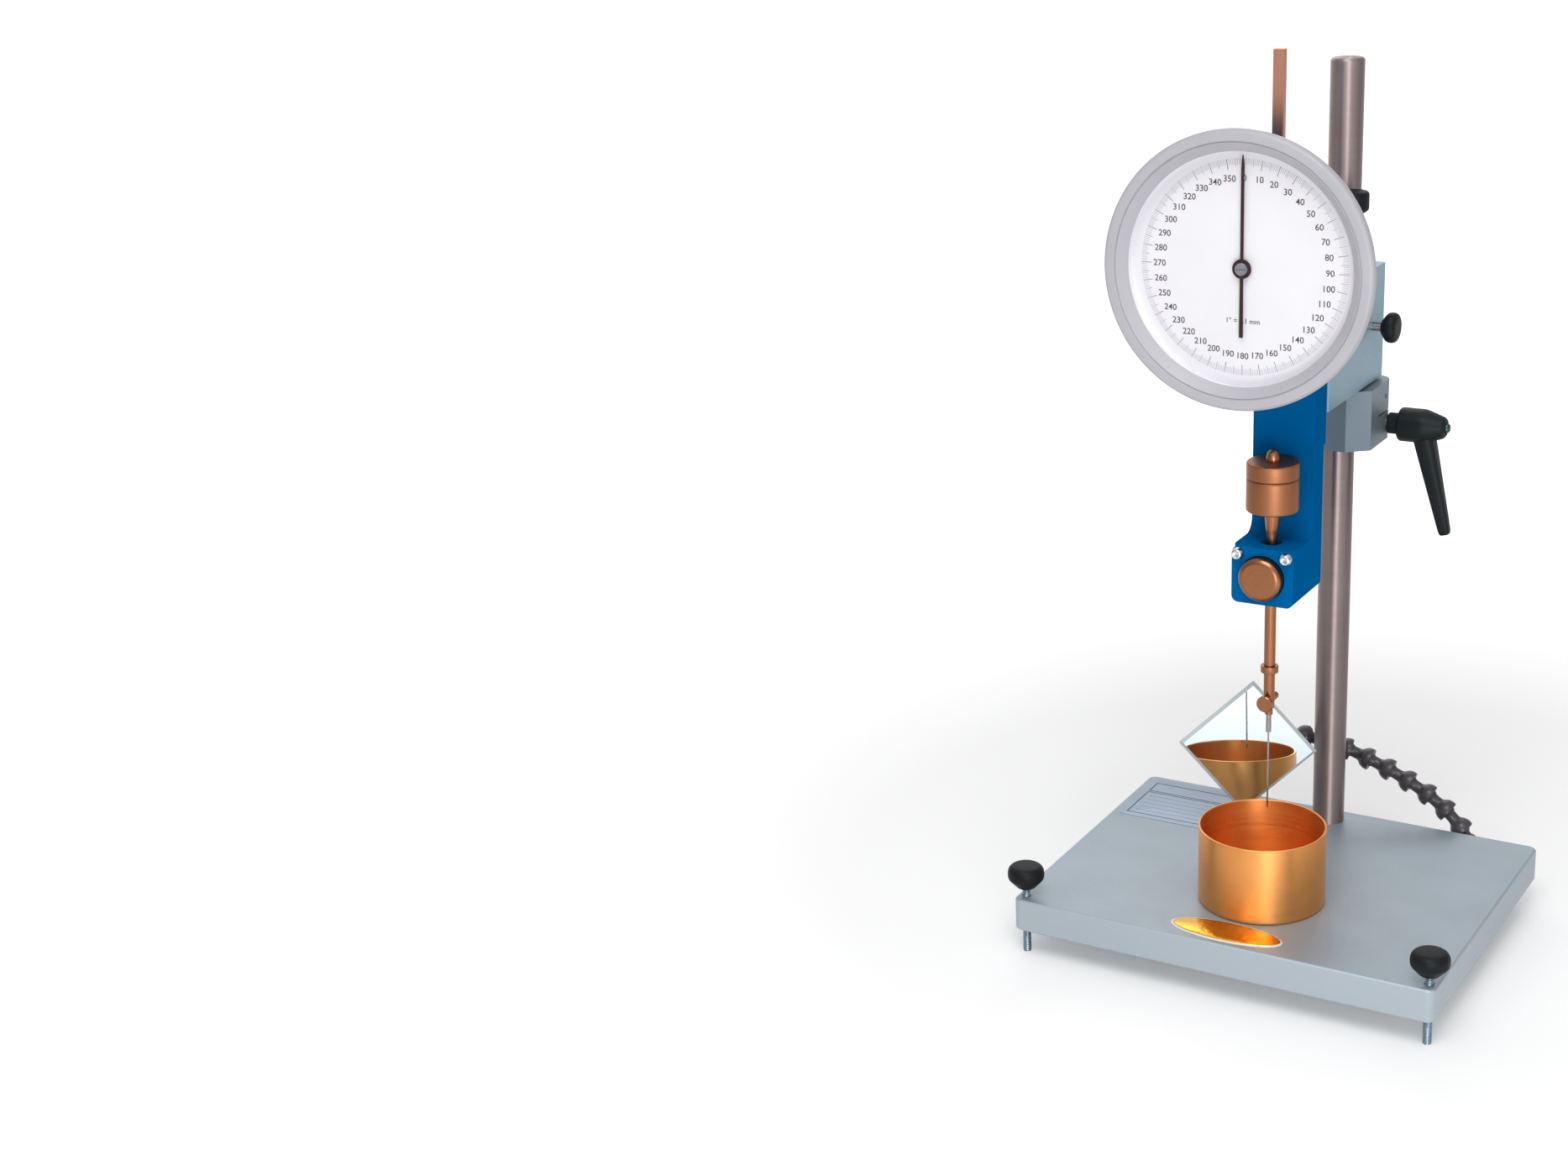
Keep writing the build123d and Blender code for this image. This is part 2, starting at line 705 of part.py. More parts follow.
disc_back = plunger_y - chuck_d / 2 - chuck_disc_gap
screw_tip = plunger_y - ferrule_d / 2 - 2 * run_fit
disc_r = chuck_disc_d / 2
screw_end = screw_tip - disc_back + chuck_disc_h
chuck_screw = turned(
    [
        (0, 0), (disc_r - chuck_disc_bevel, 0), (disc_r, chuck_disc_bevel), (disc_r, chuck_disc_h),
        (chuck_screw_d / 2, chuck_disc_h), (chuck_screw_d / 2, screw_end), (0, screw_end),
    ],
    (0, disc_back - chuck_disc_h, chuck_screw_z),
    (0, 1, 0),
)
save(chuck_screw, "chuck_screw")

ferrule_z = nose_z - ferrule_show
needle_ferrule = rod((0, plunger_y, ferrule_z), (0, 0, 1), ferrule_d, ferrule_top - ferrule_z)
needle_ferrule -= rod((0, plunger_y, ferrule_z), (0, 0, 1), needle_d + 2 * seat_fit, needle_grip)
save(needle_ferrule, "needle_ferrule")

needle_tip = ferrule_z - needle_show
needle = turned(
    [
        (0, 0), (needle_d / 12, 0), (needle_d / 2, needle_cone), (needle_d / 2, needle_show + needle_grip),
        (0, needle_show + needle_grip),
    ],
    (0, plunger_y, needle_tip),
)
save(needle, "needle")

# Rack and pinion: a straight-sided rack on its -X face and an involute pinion beside it
module = rack_pitch / math.pi
addendum = module
dedendum = 1.25 * module
slope = math.tan(math.radians(pressure_angle))
pitch_r = rack_pitch * pinion_teeth / (2 * math.pi)
base_r = pitch_r * math.cos(math.radians(pressure_angle))
tip_r = pitch_r + addendum
root_r = pitch_r - dedendum
pitch_line = -rack_w / 2 + addendum
dial_x = pitch_line - pitch_r
rack_foot = block_z + rack_foot_up
rack_top = rack_foot + rack_l


def polar(radius, angle):
    """Point of the pinion's outline."""
    return radius * math.cos(angle), radius * math.sin(angle)


def half_tooth(radius):
    """Half a pinion tooth's angle at a radius, by the involute of the base circle."""
    def turn(r):
        angle = math.acos(min(1.0, base_r / r))
        return math.tan(angle) - angle

    return math.pi / (2 * pinion_teeth) - tooth_play / pitch_r + turn(pitch_r) - turn(radius)


gap_floor = pitch_line + dedendum
gap_mouth = rack_pitch / 4 + tooth_play + addendum * slope
gap_root = rack_pitch / 4 + tooth_play - dedendum * slope
rack_edge = [(rack_w / 2, rack_foot), (rack_w / 2, rack_top), (-rack_w / 2, rack_top)]
for i in range(math.ceil(rack_travel / rack_pitch) + 3, -4, -1):
    z = dial_z + i * rack_pitch
    rack_edge += [(-rack_w / 2, z + gap_mouth), (gap_floor, z + gap_root)]
    rack_edge += [(gap_floor, z - gap_root), (-rack_w / 2, z - gap_mouth)]
rack_edge.append((-rack_w / 2, rack_foot))
rack_face = make_face(Polyline(*[(x, plunger_y, z) for x, z in rack_edge], close=True))
save(extrude(rack_face, rack_t / 2, dir=(0, 1, 0), both=True), "rack")

edges = []
for i in range(pinion_teeth):
    middle = 2 * math.pi * i / pinion_teeth
    following = middle + 2 * math.pi / pinion_teeth
    rise = [polar(r, middle - half_tooth(r)) for r in (root_r, pitch_r, tip_r)]
    fall = [polar(r, middle + half_tooth(r)) for r in (tip_r, pitch_r, root_r)]
    edges += [ThreePointArc(*rise), Line(rise[2], fall[0]), ThreePointArc(*fall)]
    edges.append(Line(fall[2], polar(root_r, following - half_tooth(root_r))))
pinion_y = plunger_y - pinion_face / 2
pinion_plane = Plane(origin=(dial_x, pinion_y, dial_z), x_dir=(1, 0, 0), z_dir=(0, 1, 0))
pinion = pinion_plane * extrude(make_face(edges), pinion_face)
pinion -= rod((dial_x, pinion_y, dial_z), (0, 1, 0), arbor_d + 2 * seat_fit, pinion_face)
save(pinion, "pinion")

# Gear housing on the frame's front
housing_left = dial_x - tip_r - housing_side
housing_right = rack_w / 2 + housing_wall
housing_y = plunger_y - housing_front
housing_low = dial_z - housing_h / 2
housing_high = dial_z + housing_h / 2
gear_housing = span(housing_left, housing_right, housing_y, frame_front, housing_low, housing_high)
channel_x = rack_w / 2 + run_fit
channel_y = rack_t / 2 + run_fit
gear_housing -= span(
    -channel_x, channel_x, plunger_y - channel_y, plunger_y + channel_y, housing_low, housing_high
)
gear_bore_d = 2 * (tip_r + gear_play)
gear_front = pinion_y - gear_play
gear_housing -= rod((dial_x, gear_front, dial_z), (0, 1, 0), gear_bore_d, frame_front - gear_front)
gear_housing -= rod((dial_x, housing_y, dial_z), (0, 1, 0), front_bush_d + 2 * seat_fit, housing_front)
save(gear_housing, "gear_housing")

case_rear = housing_y
case_front = case_rear - case_depth
rear_bush_y = pinion_y + pinion_face + gear_play
front_bush_y = case_rear - case_back
arbor_hole = arbor_d + 2 * run_fit
front_bush = rod((dial_x, front_bush_y, dial_z), (0, 1, 0), front_bush_d, gear_front - front_bush_y)
front_bush -= rod((dial_x, front_bush_y, dial_z), (0, 1, 0), arbor_hole, gear_front - front_bush_y)
rear_bush_d = gear_bore_d - 2 * seat_fit
rear_bush = rod((dial_x, rear_bush_y, dial_z), (0, 1, 0), rear_bush_d, frame_front - rear_bush_y)
bush_hole = frame_front - bush_floor - rear_bush_y
rear_bush -= rod((dial_x, rear_bush_y, dial_z), (0, 1, 0), arbor_hole, bush_hole)
save(Part() + [front_bush, rear_bush], "arbor_bushes")

# Dial case, graduated plate, ring, glass and bezel, all about the arbor's axis from the case front
dial_axis = (dial_x, case_front, dial_z)
plate_r = dial_plate_d / 2
glass_r = plate_r + glass_ledge
case_r = glass_r + case_rim
bezel_r = case_r + bezel_wall
rear_r = case_r - case_taper
shaft_r = front_bush_d / 2 + seat_fit
ledge = dial_plate_down + dial_plate_thick
dial_case = turned(
    [
        (plate_r + seat_fit, 0), (case_r, 0), (case_r, case_band), (rear_r, case_depth),
        (shaft_r, case_depth), (shaft_r, case_depth - case_back),
        (rear_r - case_wall, case_depth - case_back), (rear_r - case_wall, ledge), (plate_r + seat_fit, ledge),
    ],
    dial_axis,
    (0, 1, 0),
)
save(dial_case, "dial_case")

plate_start = (dial_x, case_front + dial_plate_down, dial_z)
dial_plate = rod(plate_start, (0, 1, 0), dial_plate_d, dial_plate_thick)
dial_plate -= rod(plate_start, (0, 1, 0), 2 * arbor_d, dial_plate_thick)
save(dial_plate, "dial_plate")

dial_ring = rod(dial_axis, (0, 1, 0), dial_plate_d, dial_plate_down)
dial_ring -= rod(dial_axis, (0, 1, 0), dial_plate_d - 2 * dial_ring_wall, dial_plate_down)
save(dial_ring, "dial_ring")

save(rod((dial_x, case_front - glass_thick, dial_z), (0, 1, 0), 2 * glass_r, glass_thick), "dial_glass")

lip_r = plate_r - bezel_lip
seat_r = glass_r + seat_fit
skirt_r = case_r + run_fit
bezel_w = bezel_r - lip_r
dial_bezel = turned(
    [
        (lip_r, -glass_thick), (lip_r + 0.4 * bezel_w, -glass_thick - 0.65 * bezel_rise),
        (lip_r + 0.7 * bezel_w, -glass_thick - bezel_rise),
        (lip_r + 0.93 * bezel_w, -glass_thick - 0.8 * bezel_rise), (bezel_r, -glass_thick - 0.4 * bezel_rise),
        (bezel_r - bezel_taper, bezel_skirt), (skirt_r, bezel_skirt), (skirt_r, 0), (seat_r, 0),
        (seat_r, -glass_thick),
    ],
    dial_axis,
    (0, 1, 0),
)
save(dial_bezel, "dial_bezel")

# Pointer, nut and arbor
pointer_y = case_front + dial_plate_down - pointer_gap - pointer_thick
half_hand = [
    (pointer_tip_w / 2, pointer_tip), (pointer_w / 2, pointer_tip - pointer_point), (pointer_w / 2, 0),
    (pointer_tail_w / 2, -pointer_tail),
]
hand = [(x, 0, z) for x, z in half_hand] + [(-x, 0, z) for x, z in reversed(half_hand)]
pointer_place = Pos(dial_x, pointer_y, dial_z)
pointer = pointer_place * extrude(make_face(Polyline(*hand, close=True)), pointer_thick, dir=(0, 1, 0))
pointer += rod((dial_x, pointer_y, dial_z), (0, 1, 0), pointer_hub_d, pointer_thick)
pointer -= rod((dial_x, pointer_y, dial_z), (0, 1, 0), arbor_d + 2 * seat_fit, pointer_thick)
save(pointer, "pointer")

nut_front = pointer_y - nut_h
pointer_nut = rod((dial_x, nut_front, dial_z), (0, 1, 0), nut_d, nut_h)
pointer_nut = chamfer(pointer_nut.edges().group_by(Axis.Y)[0], nut_bevel)
slot = span(-nut_d, nut_d, nut_front, nut_front + nut_h / 3, -nut_h / 4, nut_h / 4)
pointer_nut -= Pos(dial_x, 0, dial_z) * slot
save(pointer_nut, "pointer_nut")

arbor_back = frame_front - bush_floor - 2 * run_fit
arbor = rod((dial_x, pointer_y, dial_z), (0, 1, 0), arbor_d, arbor_back - pointer_y)
save(arbor, "arbor")

# Segmented arm: elbow, ball links, mirror holder
ball_r = ball_d / 2
neck_r = link_neck_d / 2
rim_r = link_rim_d / 2
socket_r = (ball_r + socket_play) / math.cos(math.pi / link_sides)
neck_base = -math.sqrt(ball_r**2 - neck_r**2)
ball_rows = [
    (neck_r, neck_base), (0.95 * ball_r, -0.3 * ball_r), (0.95 * ball_r, 0.3 * ball_r),
    (0.7 * ball_r, 0.7 * ball_r),
]


def ball_end(at):
    """Neck and ball, the ball's middle at a height, as polygon rows inside the ball's sphere."""
    return [(r, at + h) for r, h in ball_rows]


def arm_link():
    """One link: socket with flared rim about its origin, ball one pitch further along +Z."""
    shoulder = ball_r + link_shoulder
    rows = [
        (rim_r, -link_lip), (rim_r, link_rim_h - link_lip), (socket_r + link_wall, shoulder),
        (neck_r, shoulder + link_taper),
    ]
    body = faceted(rows + ball_end(link_pitch))
    return body - faceted([(socket_r, -link_lip), (socket_r, ball_r + socket_play)])


elbow_y = plate_back + elbow_out
elbow_dir = heading(*elbow_heading)
elbow_origin = Vector(elbow_x, elbow_y, elbow_z)
arm_elbow = rod((elbow_x, plate_back, elbow_z), (0, 1, 0), elbow_d, elbow_out + elbow_d / 2)
arm_elbow = chamfer(arm_elbow.edges().group_by(Axis.Y)[-1], elbow_d / 10)
arm_elbow += rod(stud_end, (0, 1, 0), elbow_stud_d, elbow_stud_l)
arm_elbow += Plane(origin=elbow_origin, z_dir=elbow_dir) * faceted([(neck_r, 0)] + ball_end(elbow_reach))
save(arm_elbow, "arm_elbow")

joint = elbow_origin + elbow_dir * elbow_reach
for number, (yaw, lift) in enumerate(link_headings, 1):
    along = heading(yaw, lift)
    place = Plane(origin=joint, x_dir=heading(yaw + 90, 0), z_dir=along)
    save(place * arm_link(), f"arm_link_{number:02d}")
    joint = joint + along * link_pitch

facing = heading(*mirror_facing)
holder_place = Plane(origin=joint, x_dir=heading(mirror_facing[0] + 90, 0), z_dir=facing)
holder_back = holder_reach - holder_thick
cuff_rows = [
    (rim_r - holder_lip, -holder_lip), (rim_r, link_rim_h - link_lip),
    (socket_r + link_wall, ball_r + link_shoulder), (socket_r + link_wall, holder_back),
]
mirror_holder = faceted(cuff_rows)
mirror_holder += rod((0, 0, holder_back), (0, 0, 1), holder_d, holder_thick)
mirror_holder -= faceted([(socket_r, -holder_lip), (socket_r, ball_r + socket_play)])
save(holder_place * mirror_holder, "mirror_holder")

mirror_glass = Pos(-mirror_aside, 0, holder_reach) * Rot(0, 0, mirror_roll) * Box(
    mirror_side, mirror_side, mirror_thick, align=(Align.CENTER, Align.CENTER, Align.MIN)
)
save(holder_place * mirror_glass, "mirror_glass")
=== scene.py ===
"""Looks of a bench penetrometer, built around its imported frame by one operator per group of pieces."""

import json
import math

import bmesh
import bpy
import numpy as np
from bpy.props import FloatProperty, FloatVectorProperty, IntProperty, PointerProperty
from mathutils import Matrix, Vector


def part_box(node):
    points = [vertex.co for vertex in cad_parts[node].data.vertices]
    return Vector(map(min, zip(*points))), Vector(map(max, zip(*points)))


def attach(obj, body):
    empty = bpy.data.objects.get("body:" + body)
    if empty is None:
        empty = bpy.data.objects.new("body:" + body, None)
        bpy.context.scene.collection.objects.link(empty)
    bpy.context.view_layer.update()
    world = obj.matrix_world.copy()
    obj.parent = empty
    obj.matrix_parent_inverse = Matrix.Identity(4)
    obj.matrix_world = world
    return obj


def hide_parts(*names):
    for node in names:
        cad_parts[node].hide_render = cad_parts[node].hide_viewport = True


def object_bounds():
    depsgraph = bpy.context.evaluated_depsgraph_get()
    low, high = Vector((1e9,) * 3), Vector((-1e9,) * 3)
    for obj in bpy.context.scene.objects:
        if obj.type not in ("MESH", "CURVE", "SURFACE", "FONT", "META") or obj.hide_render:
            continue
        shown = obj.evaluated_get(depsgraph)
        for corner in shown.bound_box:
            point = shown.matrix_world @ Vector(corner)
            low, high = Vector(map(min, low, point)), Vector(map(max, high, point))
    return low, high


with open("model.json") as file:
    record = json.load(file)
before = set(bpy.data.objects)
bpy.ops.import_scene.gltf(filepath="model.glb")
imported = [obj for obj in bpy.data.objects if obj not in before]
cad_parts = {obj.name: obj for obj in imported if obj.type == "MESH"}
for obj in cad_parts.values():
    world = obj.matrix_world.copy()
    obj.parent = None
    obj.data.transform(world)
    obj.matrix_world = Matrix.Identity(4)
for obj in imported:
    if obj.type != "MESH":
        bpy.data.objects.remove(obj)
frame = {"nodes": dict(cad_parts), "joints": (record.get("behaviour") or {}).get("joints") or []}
CAD_BOX = [list(corner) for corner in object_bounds()]
NODES = frame["nodes"]
MM = 0.001
PRINT = 0.03 * MM
WRAP = "around_the_axis"
RIGHT, BACK, FRONT, UP = (1.0, 0.0, 0.0), (0.0, 1.0, 0.0), (0.0, -1.0, 0.0), (0.0, 0.0, 1.0)

bl_info = {
    "name": "Penetrometer looks",
    "version": (1, 0, 0),
    "blender": (4, 5, 0),
    "location": "View3D > Sidebar > Penetrometer",
    "description": "Finishes, dial print and smooth turned pieces for a bench penetrometer",
    "category": "Object",
}


def linear(red, green, blue):
    """Linear values of a screen colour from 0-255: c/12.92 below the knee and a power above it."""
    c = np.array([red, green, blue]) / 255.0
    low = c / 12.92
    high = ((c + 0.055) / 1.055) ** 2.4
    return tuple(float(v) for v in np.where(c <= 0.04045, low, high))


def colour(name, description, red, green, blue):
    """Colour property with a screen colour as its default."""
    return FloatVectorProperty(
        name=name, description=description, subtype="COLOR", size=3, min=0.0, max=1.0,
        default=linear(red, green, blue),
    )


def length(name, description, millimetres):
    """Length property with a default in millimetres."""
    return FloatProperty(
        name=name, description=description, subtype="DISTANCE", unit="LENGTH", min=0.0,
        default=millimetres * MM, precision=5,
    )


def power(name, description, watts):
    """Power property of a lamp with a default in watts."""
    return FloatProperty(name=name, description=description, unit="POWER", min=0.0, default=watts)


class PenetrometerFinishes(bpy.types.PropertyGroup):
    """Colours of the paints, metals and mouldings."""

    aluminium: colour("Aluminium", "Anodised plate", 155, 167, 176)
    # sides: painted light, a lighter tone on the plate's sides that stands in for the light falling on them
    sides: colour("Plate sides", "Milled sides of the base plate", 172, 183, 191)
    block: colour("Milled aluminium", "Block on the column", 137, 166, 182)
    collar: colour("Cast aluminium", "Clamp collar", 114, 128, 138)
    column: colour("Column", "Ground column", 158, 143, 142)
    steel: colour("Steel", "Screws, spring and needle", 158, 150, 146)
    dark: colour("Dark steel", "Screw in the lever's end", 74, 88, 94)
    chrome: colour("Chrome", "Plated screw heads", 206, 214, 222)
    zinc: colour("Zinc", "Plated levelling rods", 146, 166, 178)
    blue: colour("Blue paint", "Head frame, cover and dial case", 0, 94, 156)
    grey: colour("Grey paint", "Bezel of the dial", 178, 177, 183)
    white: colour("Dial white", "Graduated plate", 248, 247, 252)
    ink: colour("Ink", "Figures of the dial", 90, 76, 84)
    faint: colour("Faint ink", "Divisions of the dial", 146, 135, 144)
    pointer: colour("Pointer", "Hand of the dial", 60, 35, 37)
    nut: colour("Pointer nut", "Cap on the middle of the hand", 136, 138, 148)
    glass: colour("Dial glass", "Tint of the dial's cover", 40, 44, 50)
    bronze: colour("Bronze", "Plunger, weights and button", 154, 103, 72)
    rack: colour("Rack bronze", "Toothed rack", 198, 142, 120)
    brass: colour("Cup brass", "Spun sample cup", 236, 162, 93)
    black: colour("Black moulding", "Knobs", 12, 17, 20)
    lever: colour("Lever moulding", "Clamp lever", 18, 27, 29)
    arm: colour("Arm moulding", "Ball links of the mirror arm", 60, 56, 60)
    silver: colour("Mirror silver", "Face of the mirror", 202, 214, 222)
    edge: colour("Mirror edge", "Ground edge of the mirror", 194, 202, 204)
    foil: colour("Badge foil", "Bare oval badge", 232, 174, 66)
    rim: colour("Badge rim", "Pale border of the badge", 238, 234, 226)
    label: colour("Label plate", "Bare rating plate", 160, 174, 190)
    rule: colour("Label rules", "Ruled fields of the label", 62, 72, 88)
    liquid: colour("Level liquid", "Tint of the round level", 196, 214, 96)
    air: colour("Level bubble", "Air in the round level", 232, 240, 196)


class PenetrometerDial(bpy.types.PropertyGroup):
    """Printed scale of the dial."""

    divisions: IntProperty(name="Divisions", description="Marks round the dial", default=360, min=36)
    outer: length("Outer radius", "Outer ends of the marks", 58.0)
    short: length("Short mark", "Length of a single division", 3.2)
    middle: length("Middle mark", "Length of each fifth division", 4.2)
    long: length("Long mark", "Length of each tenth division", 5.6)
    stroke: length("Stroke", "Width of a tenth division's mark", 0.36)
    figure_radius: length("Figure radius", "Circle through the figures' middles", 47.6)
    figure_size: length("Figure size", "Height setting of the figures", 4.8)


class PenetrometerTurnings(bpy.types.PropertyGroup):
    """Sizes of the threads, the ball links and the mirror."""

    levelling_pitch: length("Levelling pitch", "Rise of one turn of the levelling rods", 1.25)
    fine_pitch: length("Fine pitch", "Rise of one turn of the fine screw", 1.5)
    thread_depth: FloatProperty(
        name="Thread depth", description="Depth of a thread as a share of its pitch", subtype="FACTOR",
        default=0.4, min=0.0, max=0.6,
    )
    ball: length("Ball radius", "Ball at the end of a link", 4.6)
    socket: length("Socket radius", "Hollow at the mouth of a link", 4.75)
    link_rim: length("Link rim", "Radius of a link's mouth", 6.85)
    link_neck: length("Link neck", "Radius of a link's neck", 3.5)
    link_mouth: length("Link mouth", "How far a mouth reaches past its ball's middle", 1.5)
    boss: length("Elbow boss", "Radius of the arm's boss behind the plate", 6.0)
    mirror_bevel: length("Mirror bevel", "Width of the mirror's ground edge", 1.8)


class PenetrometerPlates(bpy.types.PropertyGroup):
    """Sizes of the bare badge and label on the base."""

    badge_length: length("Badge length", "Along the plate's front", 66.0)
    badge_width: length("Badge width", "Across the middle", 23.4)
    badge_rise: length("Badge rise", "Height of the dome", 1.7)
    badge_inset: length("Badge inset", "From the plate's front edge to the badge's middle", 15.3)
    label_width: length("Label width", "Across the plate", 72.5)
    label_depth: length("Label depth", "Front to back", 58.0)
    label_inset: length("Label inset", "From the plate's left and back edges", 5.0)
    rule: length("Rule", "Width of a printed line", 0.35)


class PenetrometerStage(bpy.types.PropertyGroup):
    """Light levels of the stage."""

    world: FloatProperty(name="Surround", description="Light from all round", default=0.5, min=0.0)
    key: power("Key lamp", "Power of the large lamp", 18.5)
    strip: power("Strip lamp", "Power of the tall lamp", 3.5)
    rear: power("Rear lamp", "Power of the rear lamp", 2.2)


# Shapes


def spot_of(joint):
    """Place of a joint."""
    return np.array(next(entry["pos_m"] for entry in frame["joints"] if entry["name"] == joint), float)


def corners_of(mesh):
    """Vertices of a mesh, row by row."""
    points = np.empty(len(mesh.vertices) * 3)
    mesh.vertices.foreach_get("co", points)
    return points.reshape(-1, 3)


def node_corners(node):
    """Distinct vertices of a CAD node."""
    return np.unique(corners_of(NODES[node].data).round(6), axis=0)


def box_middle(node):
    """Middle of a node's box."""
    low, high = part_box(node)
    return (low + high) / 2


def span(node):
    """Size of a node's box in millimetres."""
    low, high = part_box(node)
    return (np.array(high) - np.array(low)) / MM


def unit(vector):
    """Vector scaled to length one."""
    vector = np.asarray(vector, float)
    return vector / np.linalg.norm(vector)


def node_frame(origin, axis, across=None):
    """Rows across, over and along of a right-handed frame whose third axis is given, with its origin."""
    along = unit(axis)
    if across is None:
        across = UP if abs(along[2]) < 0.9 else RIGHT
    side = np.array(across, float)
    side = unit(side - along * (side @ along))
    return np.array(origin, float), np.stack([side, np.cross(along, side), along])


def foot_frame(node, axis):
    """Frame in the middle of that end of a node's box which an axis leaves from."""
    along = np.array(axis)
    half = span(node) @ np.abs(along) * MM / 2
    return node_frame(np.array(box_middle(node)) - along * half, axis)


def placed(points, place):
    """Local points carried into a frame: origin + x*side + y*over + z*along."""
    origin, axes = place
    return origin + points @ axes


def grid_faces(rows, columns, wrap_rows=False):
    """Quads of a grid stored row by row whose columns close on themselves."""
    i = np.arange(rows if wrap_rows else rows - 1)[:, None]
    j = np.arange(columns)[None, :]
    ahead = (i + 1) % rows
    beside = (j + 1) % columns
    quads = np.stack(
        [i * columns + j, i * columns + beside, ahead * columns + beside, ahead * columns + j], axis=-1
    )
    return quads.reshape(-1, 4)


def capped(rings, ends, place):
    """Closed skin over a stack of rings (row, angle, xyz), closed by poles on the axis at two heights."""
    rows, around = rings.shape[:2]
    poles = np.array([[0.0, 0.0, ends[0]], [0.0, 0.0, ends[1]]])
    points = placed(np.concatenate([rings.reshape(-1, 3), poles]), place)
    j = np.arange(around)
    beside = (j + 1) % around
    pole = np.full(around, rows * around)
    last_row = (rows - 1) * around
    first = np.stack([pole, beside, j], axis=-1)
    last = np.stack([pole + 1, last_row + j, last_row + beside], axis=-1)
    return points, grid_faces(rows, around).tolist() + first.tolist() + last.tolist()


def rounded(corners, steps=5):
    """Profile in metres: corners of (radius, height, round) in millimetres become curves between sides.

    The curve starts and ends at the length round from the corner, at most half of a side, and its points are
    (1-u)^2 a + 2u(1-u) corner + u^2 b, which keeps both tangents.
    """
    data = np.array(corners, float) * MM
    points, rounds = data[:, :2], data[:, 2]
    before = np.roll(points, 1, axis=0) - points
    after = np.roll(points, -1, axis=0) - points
    u = np.linspace(0.0, 1.0, steps)[:, None]
    pieces = []
    for corner, back, on, size in zip(points, before, after, rounds):
        if size <= 0.0:
            pieces.append(corner[None, :])
            continue
        a = corner + unit(back) * min(size, 0.49 * np.linalg.norm(back))
        b = corner + unit(on) * min(size, 0.49 * np.linalg.norm(on))
        pieces.append((1 - u) ** 2 * a + 2 * u * (1 - u) * corner + u**2 * b)
    return np.concatenate(pieces)


def arc(radius, height, start, end, steps):
    """Points (radius*cos a, height + radius*sin a) between two angles in degrees."""
    a = np.radians(np.linspace(start, end, steps))
    return np.stack([radius * np.cos(a), height + radius * np.sin(a)], axis=-1)


def turned_solid(profile, place, around=64, swell=None):
    """Closed turning: profile (radius, height) from axis to axis, turned as (r cos t, r sin t, h).

    Its ends on the axis become poles. A swell function of (radius, height, angle) gives the radius used.
    """
    profile = np.asarray(profile, float)
    t = np.linspace(0.0, 2 * math.pi, around, endpoint=False)
    r = np.repeat(profile[1:-1, :1], around, axis=1)
    h = np.repeat(profile[1:-1, 1:], around, axis=1)
    if swell is not None:
        r = swell(r, h, t[None, :])
    rings = np.stack([r * np.cos(t), r * np.sin(t), h], axis=-1)
    return capped(rings, profile[[0, -1], 1], place)


def turned_ring(profile, place, around):
    """Closed ring: a closed profile of (radius, height) turned as (r cos t, r sin t, h)."""
    profile = np.asarray(profile, float)
    t = np.linspace(0.0, 2 * math.pi, around, endpoint=False)
    r, h = profile[:, :1], profile[:, 1:]
    points = np.stack([r * np.cos(t), r * np.sin(t), np.repeat(h, around, axis=1)], axis=-1).reshape(-1, 3)
    return placed(points, place), grid_faces(len(profile), around, wrap_rows=True).tolist()


def lofted(rows, place, around, bulge):
    """Closed bar: superellipse rings of (height, half width, half depth) along an axis between two poles.

    A ring is sign(cos t)|cos t|^(2/bulge) half widths across and the same of sin t half depths over.
    """
    rows = np.asarray(rows, float)
    t = np.linspace(0.0, 2 * math.pi, around, endpoint=False)
    across, over = (np.sign(v) * np.abs(v) ** (2 / bulge) for v in (np.cos(t), np.sin(t)))
    h, a, b = rows[:, :1], rows[:, 1:2], rows[:, 2:]
    rings = np.stack([a * across, b * over, np.repeat(h, around, axis=1)], axis=-1)
    return capped(rings, rows[[0, -1], 0], place)


def sheet_rows(half_width, half_depth, thick):
    """Rows for a loft of a thin sheet with an eased upper edge."""
    ease = 0.2 * MM
    return [
        (0.0, half_width, half_depth), (0.7 * thick, half_width, half_depth),
        (thick, half_width - ease, half_depth - ease),
    ]


def slabs(quads, lift, place):
    """Thin closed bars: flat quads (n, 4, xy), corners counter-clockwise, raised from zero to a height."""
    count = len(quads)
    flat = np.concatenate([quads, np.zeros((count, 4, 1))], axis=-1)
    points = np.concatenate([flat + (0.0, 0.0, lift), flat], axis=1).reshape(-1, 3)
    block = np.array([
        [0, 1, 2, 3], [7, 6, 5, 4], [4, 5, 1, 0], [5, 6, 2, 1], [6, 7, 3, 2], [7, 4, 0, 3],
    ])
    faces = (block[None] + 8 * np.arange(count)[:, None, None]).reshape(-1, 4)
    return placed(points, place), faces.tolist()


def merged(parts):
    """One list of corners and faces from several."""
    points, faces, count = [], [], 0
    for corners, polygons in parts:
        points.append(corners)
        faces += [[i + count for i in polygon] for polygon in polygons]
        count += len(corners)
    return np.concatenate(points), faces


def ride_and_name(piece, body, stands_for):
    """Links a piece to the scene, its body and the node that it stands for."""
    bpy.context.scene.collection.objects.link(piece)
    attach(piece, body)
    if stands_for:
        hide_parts(stands_for)


def make_piece(name, shape, body, material, stands_for=None, sharp=35.0):
    """Mesh object at the origin from corner and face lists, smooth but for edges sharper than an angle."""
    points, faces = shape
    mesh = bpy.data.meshes.new(name)
    mesh.from_pydata(np.asarray(points, float).tolist(), [], faces)
    mesh.validate()
    mesh.shade_smooth()
    mesh.set_sharp_from_angle(angle=math.radians(sharp))
    mesh.materials.append(material)
    ride_and_name(bpy.data.objects.new(name, mesh), body, stands_for)
    return mesh


def stand_in(name, shape, node, body, sharp=35.0):
    """Piece that stands for a CAD node and wears its finish."""
    return make_piece(name, shape, body, finish_of(node), node, sharp)


